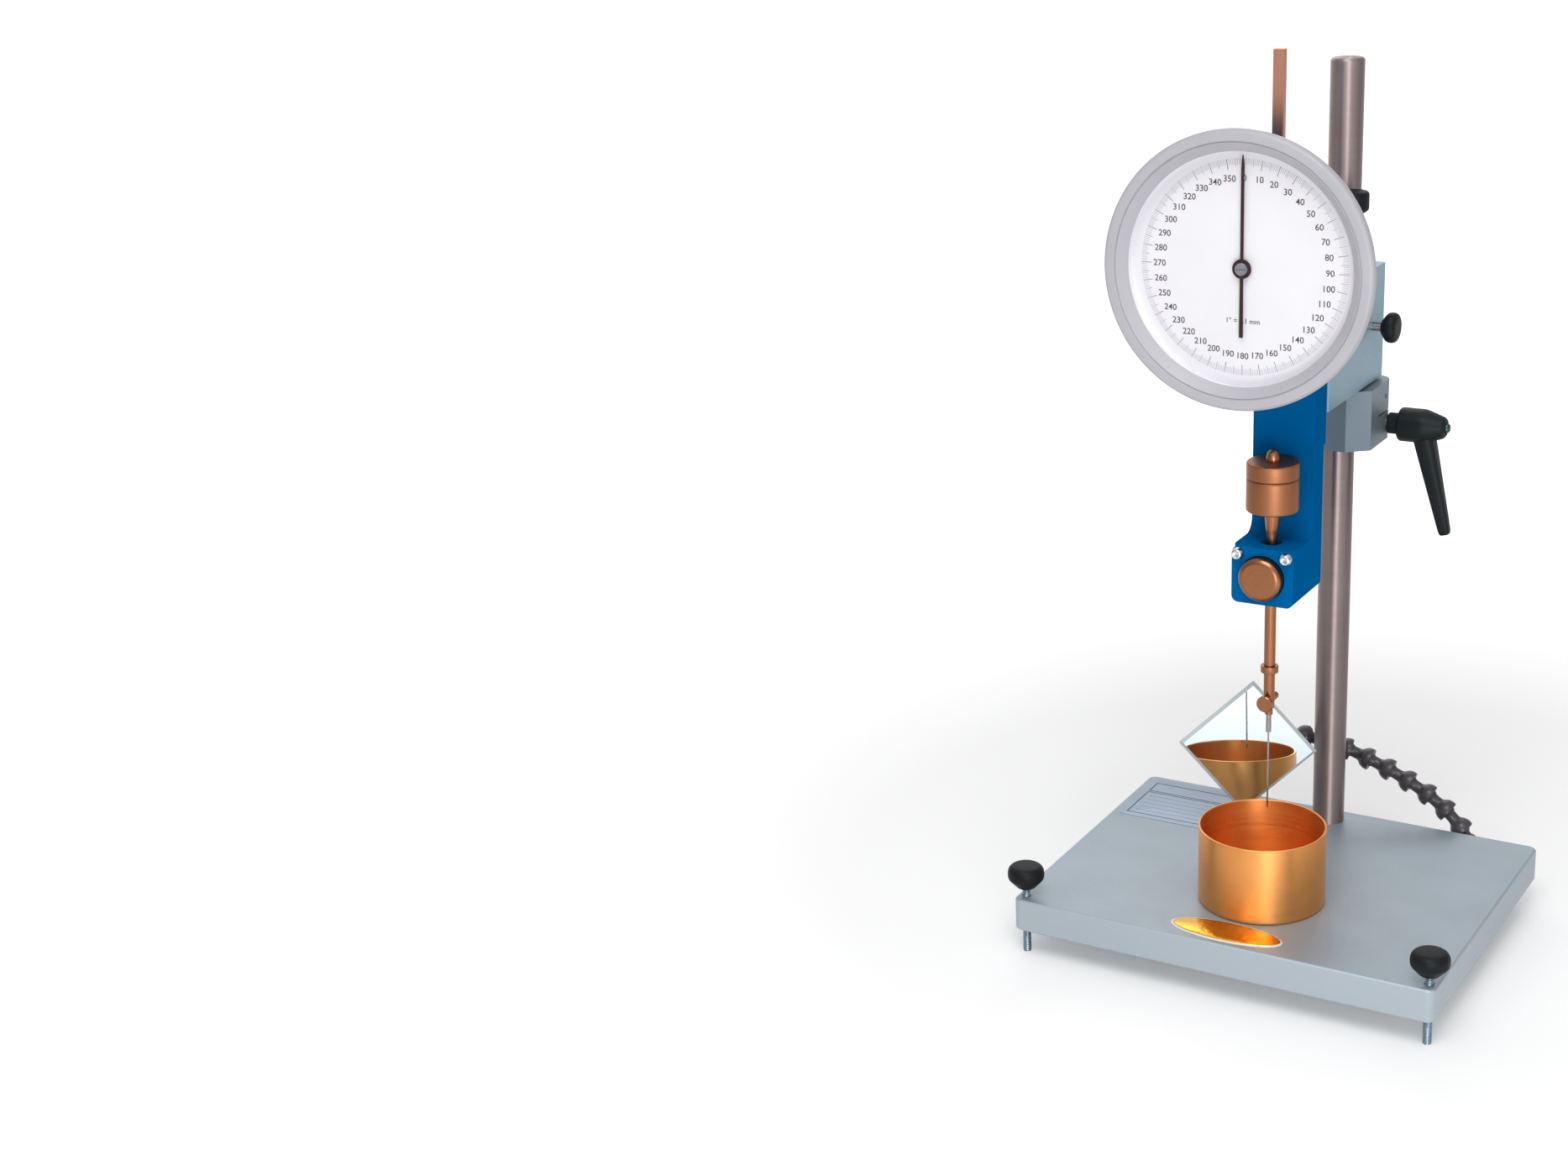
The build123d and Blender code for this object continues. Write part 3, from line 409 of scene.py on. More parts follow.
def wrap_around(mesh, place):
    """Map of a turning: the share of a turn about its axis across and the height in metres up."""
    corner = np.empty(len(mesh.loops), int)
    mesh.loops.foreach_get("vertex_index", corner)
    local = (corners_of(mesh) - place[0]) @ place[1].T
    turn = np.arctan2(local[:, 1], local[:, 0]) / (2 * math.pi)
    layer = mesh.uv_layers.new(name=WRAP)
    layer.data.foreach_set("uv", np.stack([turn, local[:, 2]], axis=-1)[corner].ravel())


# Finishes


def feed(material, node, inputs):
    """Links a shader node's inputs, by name or number, from sockets or sets them to plain values."""
    for key, value in inputs.items():
        if isinstance(value, bpy.types.NodeSocket):
            material.node_tree.links.new(value, node.inputs[key])
        else:
            node.inputs[key].default_value = value


def fresh_material(name, base, metallic, roughness):
    """Material with one shader whose plain values are set on its own sockets."""
    material = bpy.data.materials.new(name)
    material.use_nodes = True
    shader = material.node_tree.nodes["Principled BSDF"]
    feed(material, shader, {"Base Color": (*base, 1.0), "Metallic": metallic, "Roughness": roughness})
    return material, shader


def add(material, kind, inputs, **settings):
    """New shader node with its settings and inputs."""
    node = material.node_tree.nodes.new(f"ShaderNode{kind}")
    for name, value in settings.items():
        setattr(node, name, value)
    feed(material, node, inputs)
    return node


def object_coords(material, stretch=(1.0, 1.0, 1.0), shift=(0.0, 0.0, 0.0)):
    """Object coordinates moved and stretched."""
    coords = add(material, "TexCoord", {}).outputs["Object"]
    place = [-s * k for s, k in zip(shift, stretch)]
    mapping = add(material, "Mapping", {"Vector": coords, "Location": place, "Scale": stretch})
    return mapping.outputs["Vector"]


def lathe_coords(material, middle, axis):
    """(distance from an axis, height along it, 0), so that a pattern on them makes turning marks."""
    moved = object_coords(material, shift=middle)
    mask = add(material, "VectorMath", {0: moved, 1: [1.0 - abs(a) for a in axis]}, operation="MULTIPLY")
    distance = add(material, "VectorMath", {0: mask.outputs["Vector"]}, operation="LENGTH")
    height = add(material, "VectorMath", {0: moved, 1: axis}, operation="DOT_PRODUCT")
    pair = add(material, "CombineXYZ", {"X": distance.outputs["Value"], "Y": height.outputs["Value"]})
    return pair.outputs["Vector"]


def noise(material, vector, scale, detail=3.0):
    """Value noise on given coordinates."""
    return add(material, "TexNoise", {"Vector": vector, "Scale": scale, "Detail": detail}).outputs["Fac"]


def tone(material, shader, value, base, spread):
    """Base colour between a darker and a lighter shade of a colour by a 0-1 value."""
    ramp = add(material, "ValToRGB", {"Fac": value})
    for element, position, change in zip(ramp.color_ramp.elements, (0.3, 0.7), (1 - spread, 1 + spread)):
        element.position = position
        element.color = (*[min(1.0, c * change) for c in base], 1.0)
    feed(material, shader, {"Base Color": ramp.outputs["Color"]})


def ranged(material, value, source, target):
    """Value carried from one range to another and held within it."""
    limits = zip(("From Min", "From Max", "To Min", "To Max"), (*source, *target))
    return add(material, "MapRange", {"Value": value, **dict(limits)}).outputs["Result"]


def combined(material, operation, first, *others):
    """Values taken together one after the other by an operation."""
    for other in others:
        first = add(material, "Math", {0: first, 1: other}, operation=operation).outputs["Value"]
    return first


def gloss(material, shader, value, low, high):
    """Roughness between two limits by a 0-1 value."""
    feed(material, shader, {"Roughness": ranged(material, value, (0.3, 0.7), (low, high))})


def relief(material, shader, value, depth, strength):
    """Bump of a depth in millimetres by a 0-1 value."""
    bump = add(material, "Bump", {"Strength": strength, "Distance": depth * MM, "Height": value})
    feed(material, shader, {"Normal": bump.outputs["Normal"]})


def grained(
    name, base, metallic, low, high, scale, spread=0.05, depth=0.03, stretch=(1.0, 1.0, 1.0), shine=0.5
):
    """Finish with a fine grain: cloudy tone, gloss and relief from noise on object coordinates."""
    material, shader = fresh_material(name, base, metallic, (low + high) / 2)
    feed(material, shader, {"Specular IOR Level": shine})
    clouds = noise(material, object_coords(material), 28.0)
    grain = noise(material, object_coords(material, stretch), scale, 2.0)
    tone(material, shader, clouds, base, spread)
    gloss(material, shader, grain, low, high)
    relief(material, shader, grain, depth, 0.4)
    return material


def printed(name, base, low, spread):
    """Dull ink without relief."""
    return grained(name, base, 0.0, low, low + 0.1, 900.0, spread, 0.0, shine=0.2)


def milled_sides(material, base, top):
    """Painted light: a lighter tone below a height stands in for the light that falls on a plate's sides
    more than on its top.
    """
    shader = material.node_tree.nodes["Principled BSDF"]
    place = add(material, "SeparateXYZ", {"Vector": object_coords(material)})
    share = ranged(material, place.outputs["Z"], (top - 0.9 * MM, top - 0.2 * MM), (1.0, 0.0))
    plain = shader.inputs["Base Color"].links[0].from_socket
    blend = add(material, "Mix", {0: share, 6: plain, 7: (*base, 1.0)}, data_type="RGBA")
    feed(material, shader, {"Base Color": blend.outputs[2]})


def lathed(name, base, middle, axis, low, high, spread, scale, depth):
    """Turned metal: tone, gloss and relief from noise on distance and height about an axis."""
    material, shader = fresh_material(name, base, 1.0, (low + high) / 2)
    marks = noise(material, lathe_coords(material, middle, axis), scale, 2.0)
    clouds = noise(material, object_coords(material), 45.0)
    tone(material, shader, clouds, base, spread)
    gloss(material, shader, marks, low, high)
    relief(material, shader, marks, depth, 0.25)
    return material


def clear(name, tint, alpha, roughness):
    """See-through cover: a thin clear film with faint smears in its gloss."""
    material, shader = fresh_material(name, tint, 0.0, roughness)
    feed(material, shader, {"Alpha": alpha, "IOR": 1.5})
    smears = noise(material, object_coords(material), 30.0)
    gloss(material, shader, smears, roughness, roughness + 0.06)
    return material


def ground_round(material, share):
    """Stretches a finish's highlights along the axis that its piece was ground about."""
    tangent = add(material, "Tangent", {}, direction_type="UV_MAP", uv_map=WRAP)
    feed(material, material.node_tree.nodes["Principled BSDF"], {
        "Anisotropic": share, "Anisotropic Rotation": 0.25, "Tangent": tangent.outputs["Tangent"],
    })


def dress(nodes, material):
    """Puts one material on CAD nodes."""
    for name in nodes:
        slots = NODES[name].data.materials
        slots.clear()
        slots.append(material)


def finish_of(node):
    """Material that a CAD node was dressed in."""
    return NODES[node].data.materials[0]


def look():
    """Finishes of the scene."""
    return bpy.context.scene.penetrometer_finishes


ARM = [name for name in NODES if name.startswith("arm_")]
# Grained finishes: name, colour, (metallic, roughness from and to, grain, spread of tone, relief in mm),
# other settings and nodes
GRAINED = (
    ("satin_plate", "aluminium", (0.35, 0.36, 0.5, 900.0, 0.05), {}, ["base_plate", "rear_foot"]),
    ("milled_block", "block", (0.5, 0.32, 0.48, 260.0, 0.05), {"stretch": (1.0, 1.0, 9.0)},
     ["carrier_block", "gear_housing"]),
    ("cast_collar", "collar", (0.4, 0.36, 0.5, 700.0, 0.08), {}, ["clamp_collar"]),
    ("satin_nut", "nut", (0.3, 0.4, 0.5, 900.0, 0.08), {}, ["pointer_nut"]),
    ("blue_paint", "blue", (0.0, 0.5, 0.6, 1500.0, 0.05, 0.04), {"shine": 0.0},
     ["head_frame", "head_cover", "dial_case"]),
    ("dial_white", "white", (0.0, 0.42, 0.52, 700.0, 0.015, 0.01), {}, ["dial_plate", "dial_ring"]),
    ("pointer_black", "pointer", (0.0, 0.36, 0.46, 800.0, 0.1, 0.01), {"shine": 0.2}, ["pointer"]),
    ("bronze_rack", "rack", (1.0, 0.34, 0.46, 300.0, 0.08), {"stretch": (1.0, 1.0, 0.08)}, ["rack"]),
    ("black_moulding", "black", (0.0, 0.44, 0.56, 1100.0, 0.1), {"shine": 0.2},
     ["levelling_knob_left", "levelling_knob_right", "lock_knob", "fine_knob"]),
    ("lever_moulding", "lever", (0.0, 0.42, 0.54, 1200.0, 0.1), {"shine": 0.2}, ["clamp_lever"]),
    ("arm_moulding", "arm", (0.0, 0.26, 0.38, 1300.0, 0.12), {}, [*ARM, "mirror_holder"]),
    ("grey_paint", "grey", (0.0, 0.32, 0.42, 1200.0, 0.03), {"shine": 0.35}, ["dial_bezel"]),
    ("mirror_silver", "silver", (1.0, 0.015, 0.04, 60.0, 0.01, 0.0), {}, ["mirror_glass"]),
)
# Turned finishes: name, colour, (roughness from and to, spread of tone, marks, relief in mm)
# and nodes with their axes
TURNED = (
    ("ground", "column", (0.46, 0.52, 0.05, 420.0, 0.02), {"column": UP}),
    ("steel", "steel", (0.2, 0.34, 0.1, 900.0, 0.02), {
        "lock_screw": RIGHT, "clamp_stud": RIGHT, "needle": UP, "needle_ferrule": UP, "arbor": BACK,
        "release_spring": BACK, "frame_bolts": BACK, "release_yoke": BACK, "fine_screw": UP,
    }),
    ("chrome", "chrome", (0.06, 0.14, 0.05, 900.0, 0.02), {"cover_screws": BACK}),
    ("zinc", "zinc", (0.18, 0.3, 0.06, 900.0, 0.02), {"levelling_rod_left": UP, "levelling_rod_right": UP}),
    ("bronze", "bronze", (0.22, 0.36, 0.08, 900.0, 0.02), {
        "needle_chuck": UP, "chuck_screw": BACK, "release_button": BACK, "plunger_bush": UP,
        "arbor_bushes": BACK, "pinion": BACK, "level_body": UP,
    }),
    ("bronze", "bronze", (0.38, 0.5, 0.06, 900.0, 0.02), {"weight_large": UP, "weight_small": UP}),
    ("bronze", "bronze", (0.26, 0.34, 0.06, 900.0, 0.004), {"plunger": UP}),
    ("spun", "brass", (0.34, 0.44, 0.06, 500.0, 0.02), {"sample_cup": UP}),
)


class PENETROMETER_OT_finishes(bpy.types.Operator):
    """Give every CAD node its finish"""

    bl_idname = "penetrometer.finishes"
    bl_label = "Finishes"

    def execute(self, context):
        paint = look()
        for name, hue, values, more, nodes in GRAINED:
            dress(nodes, grained(name, getattr(paint, hue), *values, **more))
        # The plate's sides get a lighter tone: painted light standing in for the light that falls on them.
        milled_sides(finish_of("base_plate"), paint.sides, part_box("base_plate")[1].z)
        for name, hue, values, nodes in TURNED:
            for node, axis in nodes.items():
                dress([node], lathed(f"{name}_{node}", getattr(paint, hue), box_middle(node), axis, *values))
        dress(["dial_glass"], clear("dial_cover", paint.glass, 0.04, 0.04))
        dress(["level_glass"], clear("level_cover", paint.liquid, 0.4, 0.06))
        return {"FINISHED"}


class PENETROMETER_OT_edges(bpy.types.Operator):
    """Round the edges of the milled and painted pieces"""

    bl_idname = "penetrometer.edges"
    bl_label = "Eased edges"

    def execute(self, context):
        flat, sharp = math.radians(0.5), math.radians(30.0)
        for node, body, slot, width in (
            ("base_plate", "base", "aluminium_satin", 0.35),
            ("carrier_block", "carriage", "aluminium_satin", 0.5),
            ("clamp_collar", "clamp", "aluminium_satin", 0.5),
            ("head_frame", "carriage", "blue_paint", 0.7),
            ("head_cover", "carriage", "blue_paint", 0.7),
            ("dial_case", "carriage", "blue_paint", 0.6),
        ):
            shape = bmesh.new()
            shape.from_mesh(NODES[node].data)
            bmesh.ops.remove_doubles(shape, verts=shape.verts, dist=0.001 * MM)
            bmesh.ops.dissolve_limit(
                shape, angle_limit=flat, verts=shape.verts, edges=shape.edges, delimit=set()
            )
            mesh = bpy.data.meshes.new(f"{node}_eased")
            shape.to_mesh(mesh)
            shape.free()
            mesh.shade_smooth()
            mesh.set_sharp_from_angle(angle=sharp)
            mesh.materials.clear()
            mesh.materials.append(finish_of(node))
            piece = bpy.data.objects.new(mesh.name, mesh)
            bevel = piece.modifiers.new("eased", "BEVEL")
            bevel.width = width * MM
            bevel.segments = 3
            bevel.limit_method = "ANGLE"
            bevel.angle_limit = sharp
            bevel.harden_normals = True
            ride_and_name(piece, body, node)
        return {"FINISHED"}


class PENETROMETER_OT_bezel(bpy.types.Operator):
    """Build the bezel as a ring with a rounded crest and a bead round the glass"""

    bl_idname = "penetrometer.bezel"
    bl_label = "Bezel"

    def execute(self, context):
        wide, depth, _ = span("dial_bezel")
        rim, lip, crest = wide / 2, 62.8, 68.3
        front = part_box("dial_bezel")[0].y
        seat, back = ((corner.y - front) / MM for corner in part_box("dial_glass"))
        glass = span("dial_glass")[0] / 2
        skirt = span("dial_case")[2] / 2 + 0.06
        corners = [
            (lip, seat, 0), (lip, seat - 0.4, 0.15), (crest - 0.5, 0.4, 0.1), (crest, 1.1, 0.1),
            (crest + 0.6, 0.05, 0.2), (rim - 1.4, 0, 0.8), (rim, 1.6, 1.2), (rim, 4.6, 0.8),
            (rim - 2.4, depth, 0.8), (skirt, depth, 0.2), (skirt, back, 0), (glass, back, 0),
            (glass, seat, 0),
        ]
        ring = turned_ring(rounded(corners, 7), foot_frame("dial_bezel", BACK), 160)
        stand_in("bezel_ring", ring, "dial_bezel", "carriage")
        return {"FINISHED"}


def dial_place():
    """Middle of the dial's printed face and the directions right, up and out of it."""
    return node_frame(foot_frame("dial_plate", BACK)[0], FRONT, RIGHT)


class PENETROMETER_OT_divisions(bpy.types.Operator):
    """Print the dial's divisions"""

    bl_idname = "penetrometer.divisions"
    bl_label = "Divisions"

    def execute(self, context):
        dial = context.scene.penetrometer_dial
        index = np.arange(dial.divisions)
        angle = 2 * math.pi * index / dial.divisions
        tenth, fifth = index % 10 == 0, index % 5 == 0
        reach = np.where(tenth, dial.long, np.where(fifth, dial.middle, dial.short))
        stroke = dial.stroke * np.where(tenth, 1.0, np.where(fifth, 0.65, 0.4))
        outward = np.stack([np.sin(angle), np.cos(angle)], axis=-1)[:, None, :]
        across = np.stack([np.cos(angle), -np.sin(angle)], axis=-1)[:, None, :]
        sign = np.array([-0.5, 0.5, 0.5, -0.5])[None, :, None] * stroke[:, None, None]
        far = np.array([0.0, 0.0, 1.0, 1.0])[None, :]
        radius = (dial.outer - reach[:, None] * (1 - far))[..., None]
        marks = slabs(outward * radius + across * sign, PRINT, dial_place())
        ink = printed("faint_ink", look().faint, 0.5, 0.15)
        make_piece("dial_divisions", marks, "carriage", ink)
        return {"FINISHED"}


def lettering(text, size):
    """Corners and faces of one centred line of text, as a thin slab lying on its plane."""
    curve = bpy.data.curves.new("figure", "FONT")
    curve.body = text
    curve.size = size
    curve.align_x = "CENTER"
    curve.align_y = "CENTER"
    curve.extrude = PRINT / 2
    curve.offset = 0.012 * size
    curve.resolution_u = 3
    holder = bpy.data.objects.new("figure", curve)
    bpy.context.scene.collection.objects.link(holder)
    graph = bpy.context.evaluated_depsgraph_get()
    mesh = bpy.data.meshes.new_from_object(holder.evaluated_get(graph))
    shape = bmesh.new()
    shape.from_mesh(mesh)
    bmesh.ops.remove_doubles(shape, verts=shape.verts, dist=0.01 * MM)
    bmesh.ops.beautify_fill(shape, faces=shape.faces, edges=shape.edges, method="AREA")
    bmesh.ops.recalc_face_normals(shape, faces=shape.faces)
    shape.to_mesh(mesh)
    shape.free()
    points = corners_of(mesh) + (0.0, 0.0, PRINT / 2)
    faces = [list(polygon.vertices) for polygon in mesh.polygons]
    bpy.data.objects.remove(holder)
    bpy.data.curves.remove(curve)
    bpy.data.meshes.remove(mesh)
    return points, faces


class PENETROMETER_OT_figures(bpy.types.Operator):
    """Print the dial's upright figures and its unit"""

    bl_idname = "penetrometer.figures"
    bl_label = "Figures"

    def execute(self, context):
        dial = context.scene.penetrometer_dial
        entries = [("1° = 0.1 mm", 0.8 * dial.figure_size, (0.0, -0.6 * dial.figure_radius, 0.0))]
        for value in range(0, 360, 10):
            a = math.radians(value)
            spot = (dial.figure_radius * math.sin(a), dial.figure_radius * math.cos(a), 0.0)
            entries.append((str(value), dial.figure_size, spot))
        parts = []
        for text, size, spot in entries:
            corners, polygons = lettering(text, size)
            parts.append((placed(corners + spot, dial_place()), polygons))
        ink = printed("dial_ink", look().ink, 0.5, 0.15)
        make_piece("dial_figures", merged(parts), "carriage", ink)
        return {"FINISHED"}


# Profiles of the knobs from their foot, in shares of radius and height, with each corner's rounding
LEVELLING_KNOB = (
    (0, 0, 0), (0.5, 0, 0.05), (0.56, 0.05, 0.1), (0.94, 0.36, 0.16), (1.0, 0.46, 0.16), (1.0, 0.7, 0.16),
    (0.93, 0.86, 0.2), (0.74, 0.98, 0.2), (0.3, 1.0, 0.2), (0, 1.0, 0),
)
LOCK_KNOB = (
    (0, 0, 0), (0.48, 0, 0.05), (0.54, 0.06, 0.1), (0.9, 0.3, 0.2), (1.0, 0.48, 0.2), (1.0, 0.7, 0.16),
    (0.94, 0.86, 0.2), (0.74, 0.98, 0.2), (0.3, 1.0, 0.2), (0, 1.0, 0),
)
FINE_KNOB = (
    (0, 0, 0), (0.58, 0, 0.08), (0.58, 0.2, 0.1), (0.96, 0.34, 0.14), (1.0, 0.42, 0.1), (1.0, 0.92, 0.16),
    (0.84, 1.0, 0.16), (0, 1.0, 0),
)


class PENETROMETER_OT_knobs(bpy.types.Operator):
    """Build the knobs as smooth turnings in their nodes' boxes"""

    bl_idname = "penetrometer.knobs"
    bl_label = "Knobs"

    def execute(self, context):
        for node, body, axis, shares in (
            ("levelling_knob_left", "levelling_left", UP, LEVELLING_KNOB),
            ("levelling_knob_right", "levelling_right", UP, LEVELLING_KNOB),
            ("lock_knob", "lock", RIGHT, LOCK_KNOB), ("fine_knob", "fine_adjuster", UP, FINE_KNOB),
        ):
            size = span(node)
            radius = size[np.array(axis) == 0.0].min() / 2
            corners = np.array(shares) * (radius, size @ axis, radius)
            knob = turned_solid(rounded(corners, 7), foot_frame(node, axis))
            stand_in(f"{node}_smooth", knob, node, body, 60.0)
        return {"FINISHED"}


class PENETROMETER_OT_threads(bpy.types.Operator):
    """Cut the threads of the levelling rods and the fine screw"""

    bl_idname = "penetrometer.threads"
    bl_label = "Threads"

    def execute(self, context):
        turnings = context.scene.penetrometer_turnings
        for node, body, pitch in (
            ("levelling_rod_left", "levelling_left", turnings.levelling_pitch),
            ("levelling_rod_right", "levelling_right", turnings.levelling_pitch),
            ("fine_screw", "fine_adjuster", turnings.fine_pitch),
        ):
            _, wide, tall = span(node) * MM
            radius = wide / 2
            chamfer = 0.12 * radius
            depth = turnings.thread_depth * pitch

            def thread(r, h, t):
                """Radius less depth times the triangle wave 2|x - round(x)| of x = height / pitch - turn."""
                x = h / pitch - t / (2 * math.pi)
                return r - depth * 2 * np.abs(x - np.round(x)) * (r > 0.95 * radius)

            h = np.linspace(chamfer, tall - chamfer, int(8 * tall / pitch))
            shank = np.stack([np.full_like(h, radius), h], axis=-1)
            profile = [(0, 0), (radius - chamfer, 0), *shank, (radius - chamfer, tall), (0, tall)]
            rod = turned_solid(profile, foot_frame(node, UP), 24, thread)
            stand_in(f"{node}_thread", rod, node, body, 60.0)
        return {"FINISHED"}


class PENETROMETER_OT_column(bpy.types.Operator):
    """Build the ground column with a chamfered top"""

    bl_idname = "penetrometer.column"
    bl_label = "Column"

    def execute(self, context):
        middle = box_middle("column")
        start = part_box("base_plate")[1].z - 2.0 * MM
        radius, tall, chamfer = span("column")[0] / 2, (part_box("column")[1].z - start) / MM, 1.2
        corners = [
            (0, 0, 0), (radius, 0, 0), (radius, tall - chamfer, 0.3), (radius - chamfer, tall, 0.3),
            (0, tall, 0),
        ]
        place = node_frame((middle.x, middle.y, start), UP)
        column = turned_solid(rounded(corners), place, 96)
        wrap_around(stand_in("column_ground", column, "column", "base"), place)
        ground_round(finish_of("column"), 0.9)
        return {"FINISHED"}


class PENETROMETER_OT_plunger(bpy.types.Operator):
    """Build the plunger with its ring, shoulder and bullet-shaped top"""

    bl_idname = "penetrometer.plunger"
    bl_label = "Plunger"

    def execute(self, context):
        wide, _, top = span("plunger")
        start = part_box("plunger")[0].z
        shoulder = (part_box("weight_large")[0].z - start) / MM
        crown = (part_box("weight_small")[1].z - start) / MM
        spigot, ring, rod, seat, nut = 2.0, wide / 2, 3.2, 4.5, 3.9
        corners = [
            (0, 0, 0), (spigot, 0, 0.2), (spigot, 10.0, 0), (ring, 10.0, 0.4), (ring, 14.1, 0.4),
            (rod, 14.1, 0), (rod, shoulder - 13.7, 1.0), (seat, shoulder, 0), (rod, shoulder, 0),
            (rod, crown, 0), (nut, crown, 0.2), (nut, crown + 2.2, 1.6), (0.78 * nut, top - 1.4, 1.2),
            (0.4 * nut, top, 0.8), (0, top, 0),
        ]
        plunger = turned_solid(rounded(corners), foot_frame("plunger", UP), 56)
        stand_in("plunger_turned", plunger, "plunger", "falling_set")
        return {"FINISHED"}


class PENETROMETER_OT_weights(bpy.types.Operator):
    """Build the two weights with rounded edges"""

    bl_idname = "penetrometer.weights"
    bl_label = "Weights"

    def execute(self, context):
        bore, ease = 3.4, 0.6
        for node in ("weight_large", "weight_small"):
            _, wide, tall = span(node)
            radius = wide / 2
            corners = [
                (bore, 0, 0), (radius - ease, 0, 0.2), (radius, ease, 0.3), (radius, tall - ease, 0.3),
                (radius - ease, tall, 0.2), (bore, tall, 0),
            ]
            weight = turned_ring(rounded(corners), foot_frame(node, UP), 96)
            stand_in(f"{node}_turned", weight, node, "falling_set")
        return {"FINISHED"}


class PENETROMETER_OT_button(bpy.types.Operator):
    """Build the release button with a soft edge and a slightly crowned face"""

    bl_idname = "penetrometer.button"
    bl_label = "Release button"

    def execute(self, context):
        wide, tall, _ = span("release_button")
        radius = wide / 2
        corners = [
            (0, 0, 0), (radius, 0, 0.2), (radius, tall - 2.0, 1.2), (radius - 2.2, tall - 0.35, 1.0),
            (0, tall, 0),
        ]
        button = turned_solid(rounded(corners, 7), foot_frame("release_button", FRONT), 96)
        stand_in("release_button_turned", button, "release_button", "release")
        return {"FINISHED"}


class PENETROMETER_OT_cup(bpy.types.Operator):
    """Build the sample cup as one spun wall with a rolled rim and round corners"""

    bl_idname = "penetrometer.cup"
    bl_label = "Sample cup"

    def execute(self, context):
        wide, _, tall = span("sample_cup")
        radius, wall = wide / 2, 1.2
        corners = [
            (0, 0, 0), (radius, 0, 2.0), (radius, tall, 0.5), (radius - wall, tall, 0.5),
            (radius - wall, wall, 2.2), (0, wall, 0),
        ]
        place = foot_frame("sample_cup", UP)
        cup = turned_solid(rounded(corners, 7), place, 160)
        wrap_around(stand_in("cup_spun", cup, "sample_cup", "cup"), place)
        ground_round(finish_of("sample_cup"), 0.7)
        return {"FINISHED"}


class PENETROMETER_OT_lever(bpy.types.Operator):
    """Build the clamp lever: ribbed collar, tapered hub and grip, and end screw"""

    bl_idname = "penetrometer.lever"
    bl_label = "Clamp lever"

    def execute(self, context):
        start = np.array([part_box("clamp_lever")[0].x, *spot_of("lever_turn")[1:]])
        collar, hub_r, ribs = 6.5, 10.0, 28
        hub_end = span("clamp_lever")[0] - 4.2
        corners = [
            (0, 0, 0), (6.0, 0, 0.1), (6.25, 0.4, 0.1), (6.25, collar - 0.6, 0.2), (5.3, collar - 0.4, 0.1),
            (5.3, collar + 0.3, 0.1), (9.2, collar + 0.3, 0.4), (hub_r, collar + 1.3, 0.8),
            (hub_r, 0.64 * hub_end, 2.0), (6.4, hub_end - 1.4, 0.8), (5.0, hub_end, 0.4),
            (3.5, hub_end, 0.1), (3.4, hub_end - 0.8, 0.1), (0, hub_end - 0.8, 0),
        ]

        def ribbed(r, h, t):
            """Radius less a shallow wave round the collar only."""
            on_collar = (h < (collar - 0.5) * MM) & (r > 5.6 * MM)
            return r - 0.35 * MM * (0.5 - 0.5 * np.cos(ribs * t)) * on_collar

        def along(reach):
            """Place on the lever's axis at a distance in millimetres from its foot."""
            return start + np.array(RIGHT) * reach * MM

        hub = turned_solid(rounded(corners, 6), node_frame(start, RIGHT), 8 * ribs, ribbed)
        rows = np.array([
            (3.0, 6.9, 5.9), (10.0, 6.8, 5.8), (22.0, 6.1, 5.3), (40.0, 4.9, 4.5), (58.0, 3.8, 3.7),
            (63.5, 3.5, 3.4), (65.6, 3.1, 3.1), (66.3, 2.5, 2.5), (66.5, 1.7, 1.7),
        ]) * MM
        lean = math.radians(14.0)
        grip_axis = (math.sin(lean), 0.0, -math.cos(lean))
        grip_start = along(collar + 0.48 * (hub_end - collar))
        grip = lofted(rows, node_frame(grip_start, grip_axis, BACK), 48, 3.4)
        stand_in("lever_body", merged([hub, grip]), "clamp_lever", "lever")
        nub = [(0, 0, 0), (3.0, 0, 0.1), (3.0, 1.7, 0.4), (2.3, 2.7, 0.8), (1.0, 3.1, 0.6), (0, 3.1, 0)]
        screw = turned_solid(rounded(nub), node_frame(along(hub_end - 0.8), RIGHT), 40)
        dark = grained("lever_end_steel", look().dark, 0.9, 0.18, 0.26, 900.0, 0.1)
        make_piece("lever_end_screw", screw, "lever", dark)
        return {"FINISHED"}


def ball_end(turnings, height):
    """Profile of a neck that runs into a ball round a height on the axis, ending at the ball's pole."""
    join_angle = -math.degrees(math.acos(turnings.link_neck / turnings.ball))
    return arc(turnings.ball, height, join_angle, 90.0, 12)


def socket_start(turnings, mouth):
    """Profile from the pole of a socket's roof down its inside to the mouth below the ball's middle."""
    mouth_angle = -math.degrees(math.asin(mouth / turnings.socket))
    return arc(turnings.socket, 0.0, 90.0, mouth_angle, 12)


class PENETROMETER_OT_links(bpy.types.Operator):
    """Build the ball links of the mirror arm as bells that open over the ball before them"""

    bl_idname = "penetrometer.links"
    bl_label = "Ball links"

    def execute(self, context):
        turnings = context.scene.penetrometer_turnings
        names = sorted(entry["name"] for entry in frame["joints"] if entry["name"].startswith("arm_bend_"))
        spots = [spot_of(name) for name in names] + [spot_of("mirror_tilt")]
        rim, mouth, neck = turnings.link_rim, turnings.link_mouth, turnings.link_neck / MM
        lip = np.array([(rim - 0.4 * MM, -mouth), (rim - 0.05 * MM, 0.25 * MM - mouth)])
        dome = arc(rim, 0.0, 0.0, 52.0, 9)
        root = rounded([(neck + 0.25, 6.0, 0.4), (neck, 7.4, 0.8), (neck, 9.4, 0.2)], 4)
        bell = np.concatenate([socket_start(turnings, mouth), lip, dome, root])
        for name, start, end in zip(names, spots, spots[1:]):
            body = f"link_{name[-2:]}"
            profile = np.concatenate([bell, ball_end(turnings, np.linalg.norm(end - start))])
            link = turned_solid(profile, node_frame(start, end - start), 40)
            stand_in(f"ball_{body}", link, f"arm_{body}", body, 50.0)
        return {"FINISHED"}


